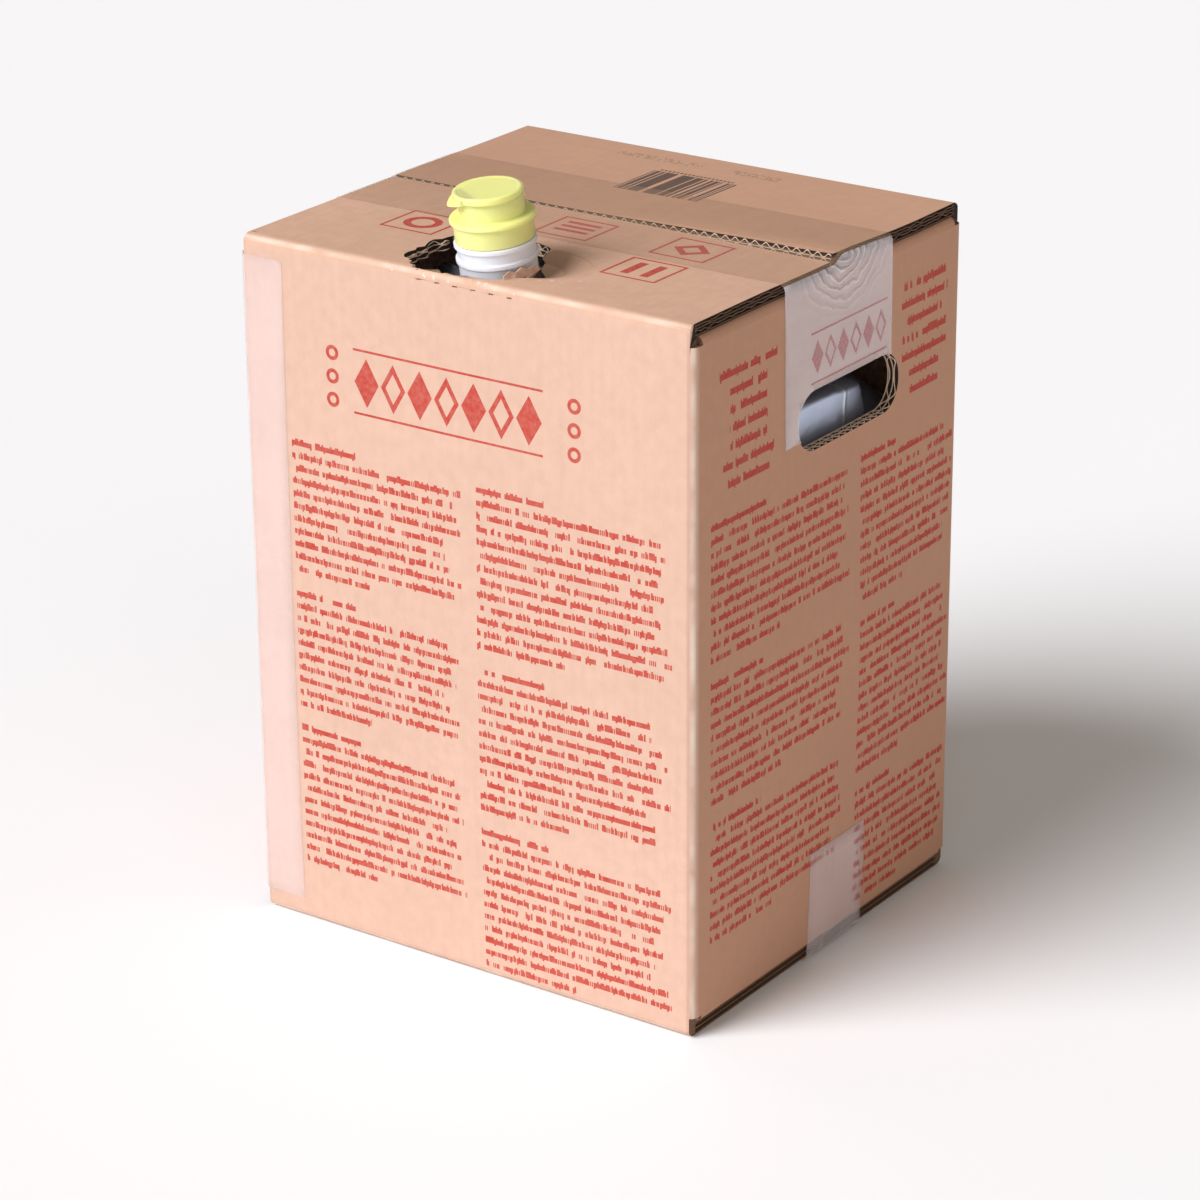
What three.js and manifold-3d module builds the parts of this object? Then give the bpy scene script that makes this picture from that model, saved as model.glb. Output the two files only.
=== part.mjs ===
import * as THREE from "three";
import { mergeVertices } from "three/addons/utils/BufferGeometryUtils.js";
import Module from "manifold-3d";

const wasm = await Module();
wasm.setup();

// A bag in box carton: one folded blank of double-wall board, three lengths of tape, the filled bag
// inside it, and the bag's spout with its snap-on pouring closure, which stands out of a torn opening.
// Millimetres, +Z up. X runs along the top seam, and the front panel faces -Y.

// Carton
const cartonWidth = 290;
const cartonDepth = 262;
const cartonHeight = 395;
const boardThickness = 6.5;
const creaseRadius = 5;
const beadRadius = 1.2;
const layerGap = 0.4;
const flapEndInset = 3;
const minorFlapInset = 1.5;
const minorFlapReach = 131;
const cornerSlotDepth = 5;
const seamY = 1.4;
const seamGap = 2.4;
const jointSlit = 0.4;

// The open edges of double-wall board, seen where it is cut along its flutes
const linerThickness = 0.7;
const edgeGrooveDepth = 2.5;

// Hand holes, one in each side panel
const handHoleLength = 101;
const handHoleHeight = 33;
const handHoleY = 14.5;
const handHoleDrop = 80.5;

// The torn knock-out in the front top flap, and the dent beside it where fingers pressed the board down
const openingX = -17;
const openingInset = 39.5;
const openingHalfWidth = 33;
const openingHalfDepth = 35.5;
const neckHoleRadius = 23.5;
const neckHoleShift = 1.5;
const tearDepth = 1.3;
const notchMargin = 14;
const dentRoot = 12;
const dentReach = 36;
const dentHalfWidth = 26;
const dentShift = 11.5;
const dentDepth = 7.5;
const dentEdgeOverlap = 0.03;
const dentSink = 0.05;
const lipHeight = 4.5;
const lipThickness = 1.6;
const lipLength = 22;
const lipRootX = 17;
const lipRootY = 19.5;
const lipTurn = 66;
const lipLean = 14;
const nickCount = 6;
const nickLength = 3;
const nickDepth = 2;
const nickHeight = 0.9;
const nickPitch = 11.5;
const nickDrop = 4.5;

// Tape
const tapeThickness = 0.35;
const tapeGap = 0.25;
const tapeCornerRadius = 4;
const topTapeWidth = 105;
const topTapeY = 4;
const topTapeLeg = 89;
const bottomTapeWidth = 55;
const bottomTapeY = 7.5;
const bottomTapeLeg = 65;
const jointTapeFront = 29;
const jointTapeSide = 26;
const jointTapeBottom = 12;
const jointTapeTop = 384.5;

// Bag
const bagClearance = 2;
const bagSeatGap = 0.3;
const bagEdgeRound = 9;
const bagShoulderHeight = 270;
const bagNeckRadius = 19;

// Spout, a moulded neck with rings, and the lean it has in the opening
const spoutX = 3.5;
const spoutInset = 30.5;
const leanForward = 6.3;
const leanLeft = 2.4;
const weldFlangeRadius = 24;
const weldFlangeThickness = 2;
const weldFlangeDepth = 18;
const neckRadius = 20.4;
const boreRadius = 17.3;
const flangeLift = 4.7;
const flangeThickness = 2.5;
const flangeRadius = 21.6;
const grooveHeight = 5.4;
const ringThickness = 2.7;
const ringRadius = 21.8;
const mouthRadius = 18.9;

// Closure
const seatGap = 0.3;
const snapClearance = 0.4;
const skirtHeight = 10.3;
const skirtRadius = 21;
const collarThickness = 2.8;
const collarRadius = 22.7;
const drumRadius = 17.3;
const drumHeight = 10.1;
const closureWall = 1.7;
const deckDepth = 5;
const sealDepth = 5;
const nozzleRadius = 7;
const nozzleBoreRadius = 5.6;
const nozzleDrop = 1;

// Flip lid
const lidRadius = 18.4;
const lidShift = 1.2;
const lidThickness = 3.5;
const lidEdgeRound = 1.1;
const lidRimWidth = 2.2;
const lidRecess = 0.4;
const plugDepth = 2.5;
const plugClearance = 1;
const beakReach = 23.5;
const beakRootWidth = 17;
const beakTipWidth = 9;
const beakRootInset = 6;
const beakDroop = 1.2;
const beakAngle = -121;
const hingeReach = 18.2;
const hingeWidth = 10;
const hingeHeight = 4;

// Smoothness of round forms
const roundSides = 48;
const creaseSteps = 4;

// Levels that follow from the sizes above
const cartonBase = tapeThickness + tapeGap;
const cartonTop = cartonBase + cartonHeight;
const halfWidth = cartonWidth / 2;
const halfDepth = cartonDepth / 2;
const innerFloor = cartonBase + 2 * boardThickness + layerGap;
const innerCeiling = cartonTop - 2 * boardThickness - layerGap;
const handHoleZ = cartonTop - handHoleDrop;
const openingY = -halfDepth + openingInset;
const spoutY = -halfDepth + spoutInset;
const dentX = spoutX + dentRoot;
const dentY = spoutY + dentShift;
const flangeTop = flangeLift + flangeThickness;
const ringBottom = flangeTop + grooveHeight;
const ringTop = ringBottom + ringThickness;
const skirtBottom = ringTop + seatGap;
const skirtTop = skirtBottom + skirtHeight;
const collarTop = skirtTop + collarThickness;
const drumTop = collarTop + drumHeight;
const lidBottom = drumTop + seatGap;
const lidTop = lidBottom + lidThickness;
const degrees = Math.PI / 180;

// Solids

function solidFrom(geometry) {
  const bare = geometry.clone();
  bare.deleteAttribute("normal");
  bare.deleteAttribute("uv");
  const merged = mergeVertices(bare, 1e-4);
  const corners = merged.index.array;
  const kept = [];
  for (let i = 0; i < corners.length; i += 3) {
    const [a, b, c] = [corners[i], corners[i + 1], corners[i + 2]];
    if (a !== b && b !== c && c !== a) kept.push(a, b, c);
  }
  const mesh = new wasm.Mesh({
    numProp: 3,
    vertProperties: new Float32Array(merged.attributes.position.array),
    triVerts: new Uint32Array(kept),
  });
  return new wasm.Manifold(mesh);
}

function geometryFrom(solid) {
  const mesh = solid.getMesh();
  const geometry = new THREE.BufferGeometry();
  geometry.setAttribute("position", new THREE.BufferAttribute(mesh.vertProperties, 3));
  geometry.setIndex(new THREE.BufferAttribute(mesh.triVerts, 1));
  return geometry;
}

function boxBetween(low, high) {
  const size = high.map((value, i) => value - low[i]);
  const middle = high.map((value, i) => (value + low[i]) / 2);
  return solidFrom(new THREE.BoxGeometry(...size).translate(...middle));
}

function prism(outline, depth, steps = creaseSteps) {
  return new THREE.ExtrudeGeometry(outline, { depth, bevelEnabled: false, curveSegments: steps });
}

// A profile of [radius, height] pairs turned about Z
function turned(profile) {
  const points = profile.map(([radius, height]) => new THREE.Vector2(radius, height));
  return solidFrom(new THREE.LatheGeometry(points, roundSides).rotateX(Math.PI / 2));
}

// Lays an outline drawn as (inward, up) against a wall, and runs it along that wall
function alongWall(geometry, inward, start) {
  const up = new THREE.Vector3(0, 0, 1);
  const along = new THREE.Vector3().crossVectors(inward, up);
  const placing = new THREE.Matrix4().makeBasis(inward, up, along).setPosition(start);
  return geometry.applyMatrix4(placing);
}

function roundedRectangle(shape, halfX, halfY, radius) {
  shape.moveTo(-halfX + radius, -halfY);
  shape.lineTo(halfX - radius, -halfY);
  shape.absarc(halfX - radius, -halfY + radius, radius, -Math.PI / 2, 0, false);
  shape.lineTo(halfX, halfY - radius);
  shape.absarc(halfX - radius, halfY - radius, radius, 0, Math.PI / 2, false);
  shape.lineTo(-halfX + radius, halfY);
  shape.absarc(-halfX + radius, halfY - radius, radius, Math.PI / 2, Math.PI, false);
  shape.lineTo(-halfX, -halfY + radius);
  shape.absarc(-halfX + radius, -halfY + radius, radius, Math.PI, 1.5 * Math.PI, false);
  return shape;
}

// Carton

// One panel with the flaps folded in at its foot and head, as an outline of (inward, up)
function foldedPanel(bottom, top, reach) {
  const wall = boardThickness;
  const bead = wall + beadRadius;
  const outline = new THREE.Shape();
  outline.moveTo(creaseRadius, bottom);
  outline.lineTo(reach, bottom);
  outline.lineTo(reach, bottom + wall);
  outline.lineTo(bead, bottom + wall);
  outline.absarc(bead, bottom + bead, beadRadius, -Math.PI / 2, Math.PI, true);
  outline.lineTo(wall, top - bead);
  outline.absarc(bead, top - bead, beadRadius, Math.PI, Math.PI / 2, true);
  outline.lineTo(reach, top - wall);
  outline.lineTo(reach, top);
  outline.lineTo(creaseRadius, top);
  outline.absarc(creaseRadius, top - creaseRadius, creaseRadius, Math.PI / 2, Math.PI, false);
  outline.lineTo(0, bottom + creaseRadius);
  outline.absarc(creaseRadius, bottom + creaseRadius, creaseRadius, Math.PI, 1.5 * Math.PI, false);
  return outline;
}

function majorPanel(inwardY) {
  const reach = halfDepth + inwardY * seamY - seamGap / 2;
  const width = cartonWidth - 2 * flapEndInset;
  const inward = new THREE.Vector3(0, inwardY, 0);
  const start = new THREE.Vector3((-inwardY * width) / 2, -inwardY * halfDepth, 0);
  return solidFrom(alongWall(prism(foldedPanel(cartonBase, cartonTop, reach), width), inward, start));
}

function minorPanel(inwardX) {
  const layer = boardThickness + layerGap;
  const width = cartonDepth - 2 * (boardThickness + minorFlapInset);
  const inward = new THREE.Vector3(inwardX, 0, 0);
  const start = new THREE.Vector3(-inwardX * halfWidth, (inwardX * width) / 2, 0);
  const outline = foldedPanel(cartonBase + layer, cartonTop - layer, minorFlapReach);
  return solidFrom(alongWall(prism(outline, width), inward, start));
}

// The four panels as a tube, up to the slots between the flaps
function panelTube() {
  const bottom = cartonBase + boardThickness + cornerSlotDepth;
  const top = cartonTop - boardThickness - cornerSlotDepth;
  const outline = roundedRectangle(new THREE.Shape(), halfWidth, halfDepth, creaseRadius);
  const innerX = halfWidth - boardThickness;
  const innerY = halfDepth - boardThickness;
  outline.holes.push(roundedRectangle(new THREE.Path(), innerX, innerY, beadRadius));
  return solidFrom(prism(outline, top - bottom).translate(0, 0, bottom));
}

function roundedEnvelope() {
  const outline = roundedRectangle(new THREE.Shape(), halfWidth, halfDepth, creaseRadius);
  return solidFrom(prism(outline, cartonHeight).translate(0, 0, cartonBase));
}

// Two grooves in the end of a major flap, where the cut runs along the flutes
function flapEndGrooves() {
  const grooveHeightEach = (boardThickness - 3 * linerThickness) / 2;
  const endX = halfWidth - flapEndInset;
  const cuts = [];
  for (const flapFloor of [cartonBase, cartonTop - boardThickness]) {
    for (const layer of [0, 1]) {
      const low = flapFloor + linerThickness + layer * (grooveHeightEach + linerThickness);
      const high = low + grooveHeightEach;
      for (const side of [-1, 1]) {
        const xs = [side * endX + edgeGrooveDepth, side * endX - edgeGrooveDepth];
        const [lowX, highX] = [Math.min(...xs), Math.max(...xs)];
        for (const [lowY, highY] of [
          [-halfDepth + boardThickness, seamY - seamGap],
          [seamY + seamGap, halfDepth - boardThickness],
        ]) {
          cuts.push(boxBetween([lowX, lowY, low], [highX, highY, high]));
        }
      }
    }
  }
  return cuts;
}

function handHole() {
  const outline = roundedRectangle(
    new THREE.Shape(),
    handHoleLength / 2,
    handHoleHeight / 2,
    handHoleHeight / 2 - 0.5,
  );
  const inward = new THREE.Vector3(0, 1, 0);
  const start = new THREE.Vector3(-cartonWidth, handHoleY, handHoleZ);
  return solidFrom(alongWall(prism(outline, 2 * cartonWidth, 6), inward, start));
}

// An oval with a torn edge: the tears are a few waves laid over its radius
function tornOval(halfX, halfY, tear) {
  const points = [];
  const count = 56;
  for (let i = 0; i < count; i += 1) {
    const angle = (2 * Math.PI * i) / count;
    const squareness = 0.05 * (1 - Math.cos(4 * angle));
    const wave = Math.sin(9 * angle) + 0.7 * Math.sin(17 * angle + 1) + 0.5 * Math.sin(26 * angle + 2);
    const stretch = 1 + squareness + (tear * wave) / halfX;
    points.push(
      new THREE.Vector2(halfX * stretch * Math.cos(angle), halfY * stretch * Math.sin(angle)),
    );
  }
  return new THREE.Shape(points);
}

// The torn oval, and the round hole that the spout's neck was drawn through
function knockOut(depth) {
  const outline = tornOval(openingHalfWidth, openingHalfDepth, tearDepth);
  const oval = prism(outline, 2 * depth).translate(openingX, openingY, cartonTop - depth);
  const hole = new THREE.CylinderGeometry(neckHoleRadius, neckHoleRadius, 2 * depth, roundSides);
  hole.rotateX(Math.PI / 2);
  hole.translate(spoutX + neckHoleShift, spoutY - neckHoleShift, cartonTop);
  return solidFrom(oval).add(solidFrom(hole));
}

// The minor flaps are cut away clear of the knock-out, and clear of the dent beside it
function minorFlapNotch() {
  const low = innerCeiling - layerGap / 2;
  const high = cartonTop - boardThickness - layerGap / 2;
  const innerFront = -halfDepth + boardThickness;
  return boxBetween(
    [openingX - openingHalfWidth - notchMargin, innerFront + 0.1, low],
    [dentX + dentReach + notchMargin / 2, openingY + openingHalfDepth + notchMargin, high],
  );
}

// The board pressed down beside the torn edge: an oval dent, deepest at the tear
function dentedBoard() {
  const rings = [0, 0.15, 0.3, 0.45, 0.6, 0.75, 0.88];
  const depthAt = (ring) => dentDepth * (1 - ring ** 2) ** 2;
  const top = -dentSink;
  const bottom = -boardThickness + dentSink;
  const under = rings.map((ring) => [ring, bottom - depthAt(ring)]);
  const over = rings.map((ring) => [ring, top - depthAt(ring)]).reverse();
  const plate = turned([...under, [1, bottom], [1, top], ...over]);
  return plate
    .scale([dentReach, dentHalfWidth, 1])
    .translate([dentX, dentY, cartonTop])
    .subtract(knockOut(2 * boardThickness + dentDepth));
}

function dentClearance() {
  const low = -boardThickness - layerGap / 2;
  const cutter = turned([
    [0, low],
    [1 - dentEdgeOverlap, low],
    [1 - dentEdgeOverlap, 1],
    [0, 1],
  ]);
  return cutter.scale([dentReach, dentHalfWidth, 1]).translate([dentX, dentY, cartonTop]);
}

// Board fibres curled up along the front right edge of the tear
function curledLip() {
  const peaks = [0.35, 0.8, 0.55, 1, 0.7, 0.95, 0.45];
  const outline = new THREE.Shape();
  outline.moveTo(0, -boardThickness / 2);
  peaks.forEach((peak, i) => {
    outline.lineTo((lipLength * i) / (peaks.length - 1), lipHeight * peak);
  });
  outline.lineTo(lipLength, -boardThickness / 2);
  outline.closePath();
  const lip = prism(outline, lipThickness);
  lip.rotateX((90 - lipLean) * degrees);
  lip.rotateZ(lipTurn * degrees);
  lip.translate(spoutX + lipRootX, spoutY - lipRootY, cartonTop);
  return solidFrom(lip);
}

function perforationNicks() {
  const cuts = [];
  const firstX = spoutX - (nickPitch * (nickCount - 1)) / 2;
  for (let i = 0; i < nickCount; i += 1) {
    const x = firstX + i * nickPitch;
    const low = [x - nickLength / 2, -halfDepth - 1, cartonTop - nickDrop - nickHeight];
    const high = [x + nickLength / 2, -halfDepth + nickDepth, cartonTop - nickDrop];
    cuts.push(boxBetween(low, high));
  }
  return cuts;
}

// The blank's two ends meet at the front left corner, where tape joins them
function blankJoint() {
  const innerFront = -halfDepth + boardThickness;
  return boxBetween(
    [-halfWidth - 1, innerFront, cartonBase - 1],
    [-halfWidth + boardThickness + beadRadius, innerFront + jointSlit, cartonTop + 1],
  );
}

function foldedCarton() {
  let board = panelTube();
  for (const panel of [majorPanel(1), majorPanel(-1), minorPanel(1), minorPanel(-1)]) {
    board = board.add(panel);
  }
  board = board.intersect(roundedEnvelope());
  const cuts = [blankJoint(), handHole(), knockOut(boardThickness + layerGap / 2)];
  cuts.push(minorFlapNotch(), dentClearance(), ...flapEndGrooves(), ...perforationNicks());
  for (const cut of cuts) {
    board = board.subtract(cut);
  }
  return board.add(dentedBoard()).add(curledLip());
}

// Tape

// A strip laid over a face along X and down the two side panels
function wrappedTape(face, turn, leg, width, middleY) {
  const insideX = halfWidth + tapeGap;
  const outsideX = insideX + tapeThickness;
  const insideZ = face + turn * tapeGap;
  const outsideZ = insideZ + turn * tapeThickness;
  const end = face - turn * leg;
  const inner = tapeCornerRadius;
  const outer = tapeCornerRadius + tapeThickness;
  const quarter = (turn * Math.PI) / 2;
  const outline = new THREE.Shape();
  outline.moveTo(outsideX, end);
  outline.lineTo(outsideX, insideZ - turn * inner);
  outline.absarc(outsideX - outer, insideZ - turn * inner, outer, 0, quarter, turn < 0);
  outline.lineTo(-outsideX + outer, outsideZ);
  outline.absarc(-outsideX + outer, insideZ - turn * inner, outer, quarter, 2 * quarter, turn < 0);
  outline.lineTo(-outsideX, end);
  outline.lineTo(-insideX, end);
  outline.lineTo(-insideX, insideZ - turn * inner);
  outline.absarc(-insideX + inner, insideZ - turn * inner, inner, 2 * quarter, quarter, turn > 0);
  outline.lineTo(insideX - inner, insideZ);
  outline.absarc(insideX - inner, insideZ - turn * inner, inner, quarter, 0, turn > 0);
  outline.lineTo(insideX, end);
  outline.closePath();
  const strip = prism(outline, width).rotateX(Math.PI / 2);
  return solidFrom(strip.translate(0, middleY + width / 2, 0));
}

function topTape() {
  return wrappedTape(cartonTop, 1, topTapeLeg, topTapeWidth, topTapeY).subtract(handHole());
}

function bottomTape() {
  return wrappedTape(cartonBase, -1, bottomTapeLeg, bottomTapeWidth, bottomTapeY);
}

function jointTape() {
  const sleeve = roundedRectangle(
    new THREE.Shape(),
    halfWidth + tapeGap + tapeThickness,
    halfDepth + tapeGap + tapeThickness,
    creaseRadius + tapeGap + tapeThickness,
  );
  const bore = roundedRectangle(
    new THREE.Path(),
    halfWidth + tapeGap,
    halfDepth + tapeGap,
    creaseRadius + tapeGap,
  );
  sleeve.holes.push(bore);
  const height = jointTapeTop - jointTapeBottom;
  const ring = solidFrom(prism(sleeve, height).translate(0, 0, cartonBase + jointTapeBottom));
  const corner = boxBetween(
    [-halfWidth - 5, -halfDepth - 5, 0],
    [-halfWidth + jointTapeFront, -halfDepth + jointTapeSide, cartonTop],
  );
  return ring.intersect(corner);
}

// Bag

// Sections from the foot to the neck: level, half sizes, how far the middle has moved to the spout,
// and squareness, where 2 is an oval and more is nearer to a rectangle
function bagSections() {
  const fullX = halfWidth - boardThickness - bagClearance;
  const fullY = halfDepth - boardThickness - bagClearance;
  const foot = innerFloor + bagSeatGap;
  const neck = cartonTop - weldFlangeDepth + 4;
  const rise = neck - bagShoulderHeight;
  return [
    [foot, fullX - bagEdgeRound, fullY - bagEdgeRound, 0, 7],
    [foot + 0.3 * bagEdgeRound, fullX - 0.3 * bagEdgeRound, fullY - 0.3 * bagEdgeRound, 0, 8],
    [foot + bagEdgeRound, fullX, fullY, 0, 9],
    [(foot + bagShoulderHeight) / 2, fullX, fullY, 0, 9],
    [bagShoulderHeight, fullX, fullY, 0, 8],
    [bagShoulderHeight + 0.14 * rise, 0.965 * fullX, 0.97 * fullY, 0.02, 6],
    [bagShoulderHeight + 0.26 * rise, 0.89 * fullX, 0.9 * fullY, 0.06, 4.5],
    [bagShoulderHeight + 0.36 * rise, 0.76 * fullX, 0.8 * fullY, 0.16, 3.5],
    [bagShoulderHeight + 0.46 * rise, 0.58 * fullX, 0.62 * fullY, 0.36, 2.8],
    [bagShoulderHeight + 0.58 * rise, 0.42 * fullX, 0.45 * fullY, 0.55, 2.4],
    [bagShoulderHeight + 0.74 * rise, 0.27 * fullX, 0.28 * fullY, 0.8, 2.1],
    [bagShoulderHeight + 0.88 * rise, bagNeckRadius + 5, bagNeckRadius + 4, 0.95, 2],
    [neck, bagNeckRadius, bagNeckRadius, 1, 2],
  ];
}

function filledBag(spoutPlacing) {
  const sections = bagSections();
  const tube = new THREE.CylinderGeometry(1, 1, sections.length - 1, roundSides, sections.length - 1);
  tube.rotateX(Math.PI / 2);
  const place = tube.attributes.position;
  for (let i = 0; i < place.count; i += 1) {
    const level = Math.round(place.getZ(i) + (sections.length - 1) / 2);
    const [z, halfX, halfY, shift, squareness] = sections[level];
    const angle = Math.atan2(place.getY(i), place.getX(i));
    const reach = Math.hypot(place.getX(i), place.getY(i));
    const [c, s] = [Math.cos(angle), Math.sin(angle)];
    const radius = (Math.abs(c) ** squareness + Math.abs(s) ** squareness) ** (-1 / squareness);
    place.setXYZ(
      i,
      shift * spoutX + reach * halfX * radius * c,
      shift * (spoutY + 2) + reach * halfY * radius * s,
      z,
    );
  }
  const above = new THREE.BoxGeometry(cartonWidth, cartonWidth, cartonWidth);
  above.translate(0, 0, cartonWidth / 2 - weldFlangeDepth - bagSeatGap);
  above.applyMatrix4(spoutPlacing);
  return solidFrom(tube).subtract(solidFrom(above));
}

// Spout, drawn from the level of the carton's top

function spout() {
  const weldTop = -weldFlangeDepth + weldFlangeThickness;
  const mouthTop = skirtTop;
  return turned([
    [boreRadius, -weldFlangeDepth],
    [weldFlangeRadius, -weldFlangeDepth],
    [weldFlangeRadius, weldTop - 0.4],
    [neckRadius + 1.5, weldTop],
    [neckRadius, weldTop + 2],
    [neckRadius, flangeLift - 0.6],
    [flangeRadius, flangeLift],
    [flangeRadius, flangeTop - 0.5],
    [neckRadius, flangeTop],
    [neckRadius, ringBottom],
    [ringRadius - 0.3, ringBottom],
    [ringRadius, ringBottom + 0.5],
    [ringRadius, ringTop - 0.5],
    [ringRadius - 0.4, ringTop],
    [mouthRadius, ringTop],
    [mouthRadius, mouthTop - 1],
    [mouthRadius - 0.5, mouthTop],
    [boreRadius, mouthTop],
    [boreRadius, -weldFlangeDepth],
  ]);
}

function closure() {
  const skirtInner = mouthRadius + snapClearance;
  const roof = skirtTop + snapClearance;
  const sealOuter = boreRadius - snapClearance;
  const sealInner = sealOuter - closureWall;
  const deckTop = drumTop - deckDepth;
  const deckBottom = deckTop - closureWall;
  const nozzleTop = drumTop - nozzleDrop;
  const body = turned([
    [skirtInner, skirtBottom],
    [skirtRadius - 0.2, skirtBottom],
    [skirtRadius, skirtTop],
    [collarRadius - 0.3, skirtTop],
    [collarRadius, skirtTop + 0.5],
    [collarRadius, collarTop - 1],
    [collarRadius - 1, collarTop],
    [drumRadius + 0.6, collarTop],
    [drumRadius, collarTop + 0.6],
    [drumRadius, drumTop],
    [drumRadius - closureWall, drumTop],
    [drumRadius - closureWall, deckTop],
    [nozzleRadius, deckTop],
    [nozzleRadius - 0.4, nozzleTop],
    [nozzleBoreRadius, nozzleTop],
    [nozzleBoreRadius, deckBottom],
    [sealInner, deckBottom],
    [sealInner, roof - sealDepth],
    [sealOuter - 0.4, roof - sealDepth],
    [sealOuter, roof],
    [skirtInner, roof],
    [skirtInner, skirtBottom],
  ]);
  const knuckle = boxBetween(
    [-hingeReach, -hingeWidth / 2, drumTop - hingeHeight],
    [-drumRadius + closureWall / 2, hingeWidth / 2, drumTop],
  );
  return body.add(knuckle);
}

function flipLid() {
  const rounding = (angle) => [
    lidRadius - lidEdgeRound * (1 - Math.cos(angle)),
    lidTop - lidEdgeRound * (1 - Math.sin(angle)),
  ];
  const disc = turned([
    [0, lidBottom],
    [lidRadius, lidBottom],
    rounding(0),
    rounding(Math.PI / 6),
    rounding(Math.PI / 3),
    rounding(Math.PI / 2),
    [lidRadius - lidRimWidth, lidTop],
    [lidRadius - lidRimWidth - lidRecess, lidTop - lidRecess],
    [0, lidTop - lidRecess],
  ]).translate([lidShift, 0, 0]);
  const plugRadius = nozzleBoreRadius - plugClearance;
  const plug = turned([
    [0, lidBottom - plugDepth],
    [plugRadius - 0.5, lidBottom - plugDepth],
    [plugRadius, lidBottom - plugDepth / 2],
    [plugRadius, lidBottom + lidThickness / 2],
    [0, lidBottom + lidThickness / 2],
  ]);
  return disc.add(plug).add(beak()).add(lidHinge());
}

// The thumb tab: a tapered plan met with a sloping side view
function beak() {
  const rootX = lidRadius - beakRootInset;
  const tipRound = beakTipWidth / 2;
  const plan = new THREE.Shape();
  plan.moveTo(rootX, -beakRootWidth / 2);
  plan.lineTo(beakReach - tipRound, -tipRound);
  plan.absarc(beakReach - tipRound, 0, tipRound, -Math.PI / 2, Math.PI / 2, false);
  plan.lineTo(rootX, beakRootWidth / 2);
  plan.closePath();
  const side = new THREE.Shape();
  side.moveTo(rootX, lidBottom);
  side.lineTo(drumRadius + 0.6, lidBottom);
  side.lineTo(drumRadius + 1.4, lidBottom - beakDroop);
  side.lineTo(beakReach, lidBottom - beakDroop);
  side.lineTo(beakReach, lidBottom + 0.4);
  side.lineTo(lidRadius + lidShift, lidTop - 1);
  side.lineTo(rootX, lidTop - 1);
  side.closePath();
  const planPrism = prism(plan, lidThickness * 3, 6).translate(0, 0, lidBottom - lidThickness);
  const sidePrism = prism(side, beakRootWidth).rotateX(Math.PI / 2).translate(0, beakRootWidth / 2, 0);
  return solidFrom(planPrism).intersect(solidFrom(sidePrism));
}

function lidHinge() {
  return boxBetween(
    [-hingeReach, -hingeWidth / 2, lidBottom],
    [-lidRadius + lidShift + 3, hingeWidth / 2, lidBottom + lidThickness / 2],
  );
}

// Finishes

const finishes = {
  board: { color: 0xc9a287, roughness: 0.86, metalness: 0 },
  tape: { color: 0xd9c3b4, roughness: 0.3, metalness: 0 },
  film: { color: 0xb4bac2, roughness: 0.28, metalness: 0.85 },
  whitePlastic: { color: 0xf2f3f3, roughness: 0.4, metalness: 0 },
  yellowPlastic: { color: 0xe6e23c, roughness: 0.35, metalness: 0 },
};

function piece(name, solid, finish) {
  const mesh = new THREE.Mesh(geometryFrom(solid), new THREE.MeshStandardMaterial(finishes[finish]));
  mesh.name = name;
  return mesh;
}

// Assembly

const spoutSeat = new THREE.Group();
spoutSeat.position.set(spoutX, spoutY, cartonTop);
spoutSeat.rotation.set(leanForward * degrees, -leanLeft * degrees, 0);
spoutSeat.updateMatrixWorld();

const closureTurn = new THREE.Group();
closureTurn.rotation.z = beakAngle * degrees;
closureTurn.add(piece("closure", closure(), "yellowPlastic"));
closureTurn.add(piece("flip_lid", flipLid(), "yellowPlastic"));
spoutSeat.add(piece("spout", spout(), "whitePlastic"));
spoutSeat.add(closureTurn);

const pack = new THREE.Group();
pack.add(piece("carton", foldedCarton(), "board"));
pack.add(piece("top_tape", topTape(), "tape"));
pack.add(piece("bottom_tape", bottomTape(), "tape"));
pack.add(piece("joint_tape", jointTape(), "tape"));
pack.add(piece("bag", filledBag(spoutSeat.matrixWorld), "film"));
pack.add(spoutSeat);

export default pack;
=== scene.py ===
import math

import bmesh
import bpy
from bpy.props import FloatProperty, FloatVectorProperty, IntProperty, PointerProperty
from mathutils import Matrix, Vector, noise


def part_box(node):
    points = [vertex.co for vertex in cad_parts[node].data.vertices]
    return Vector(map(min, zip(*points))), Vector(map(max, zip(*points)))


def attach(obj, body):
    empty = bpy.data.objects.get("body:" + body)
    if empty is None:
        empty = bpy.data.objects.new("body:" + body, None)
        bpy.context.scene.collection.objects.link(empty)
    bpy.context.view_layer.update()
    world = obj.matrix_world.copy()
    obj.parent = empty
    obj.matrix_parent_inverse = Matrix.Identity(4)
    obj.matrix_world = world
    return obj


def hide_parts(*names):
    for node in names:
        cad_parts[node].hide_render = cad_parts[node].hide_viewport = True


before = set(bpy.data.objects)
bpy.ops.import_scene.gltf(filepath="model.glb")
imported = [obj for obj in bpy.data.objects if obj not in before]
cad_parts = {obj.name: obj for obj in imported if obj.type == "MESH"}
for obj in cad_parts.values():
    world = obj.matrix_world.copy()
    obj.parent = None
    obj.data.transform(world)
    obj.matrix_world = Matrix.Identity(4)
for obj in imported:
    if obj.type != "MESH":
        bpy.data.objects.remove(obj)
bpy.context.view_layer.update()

bl_info = {
    "name": "Bag in box carton",
    "version": (1, 0),
    "blender": (4, 5, 0),
    "location": "View3D > Sidebar > Carton",
    "description": "Dresses a taped corrugated carton with its bag, spout and flip lid",
    "category": "Add Mesh",
}

MM = 0.001

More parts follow.
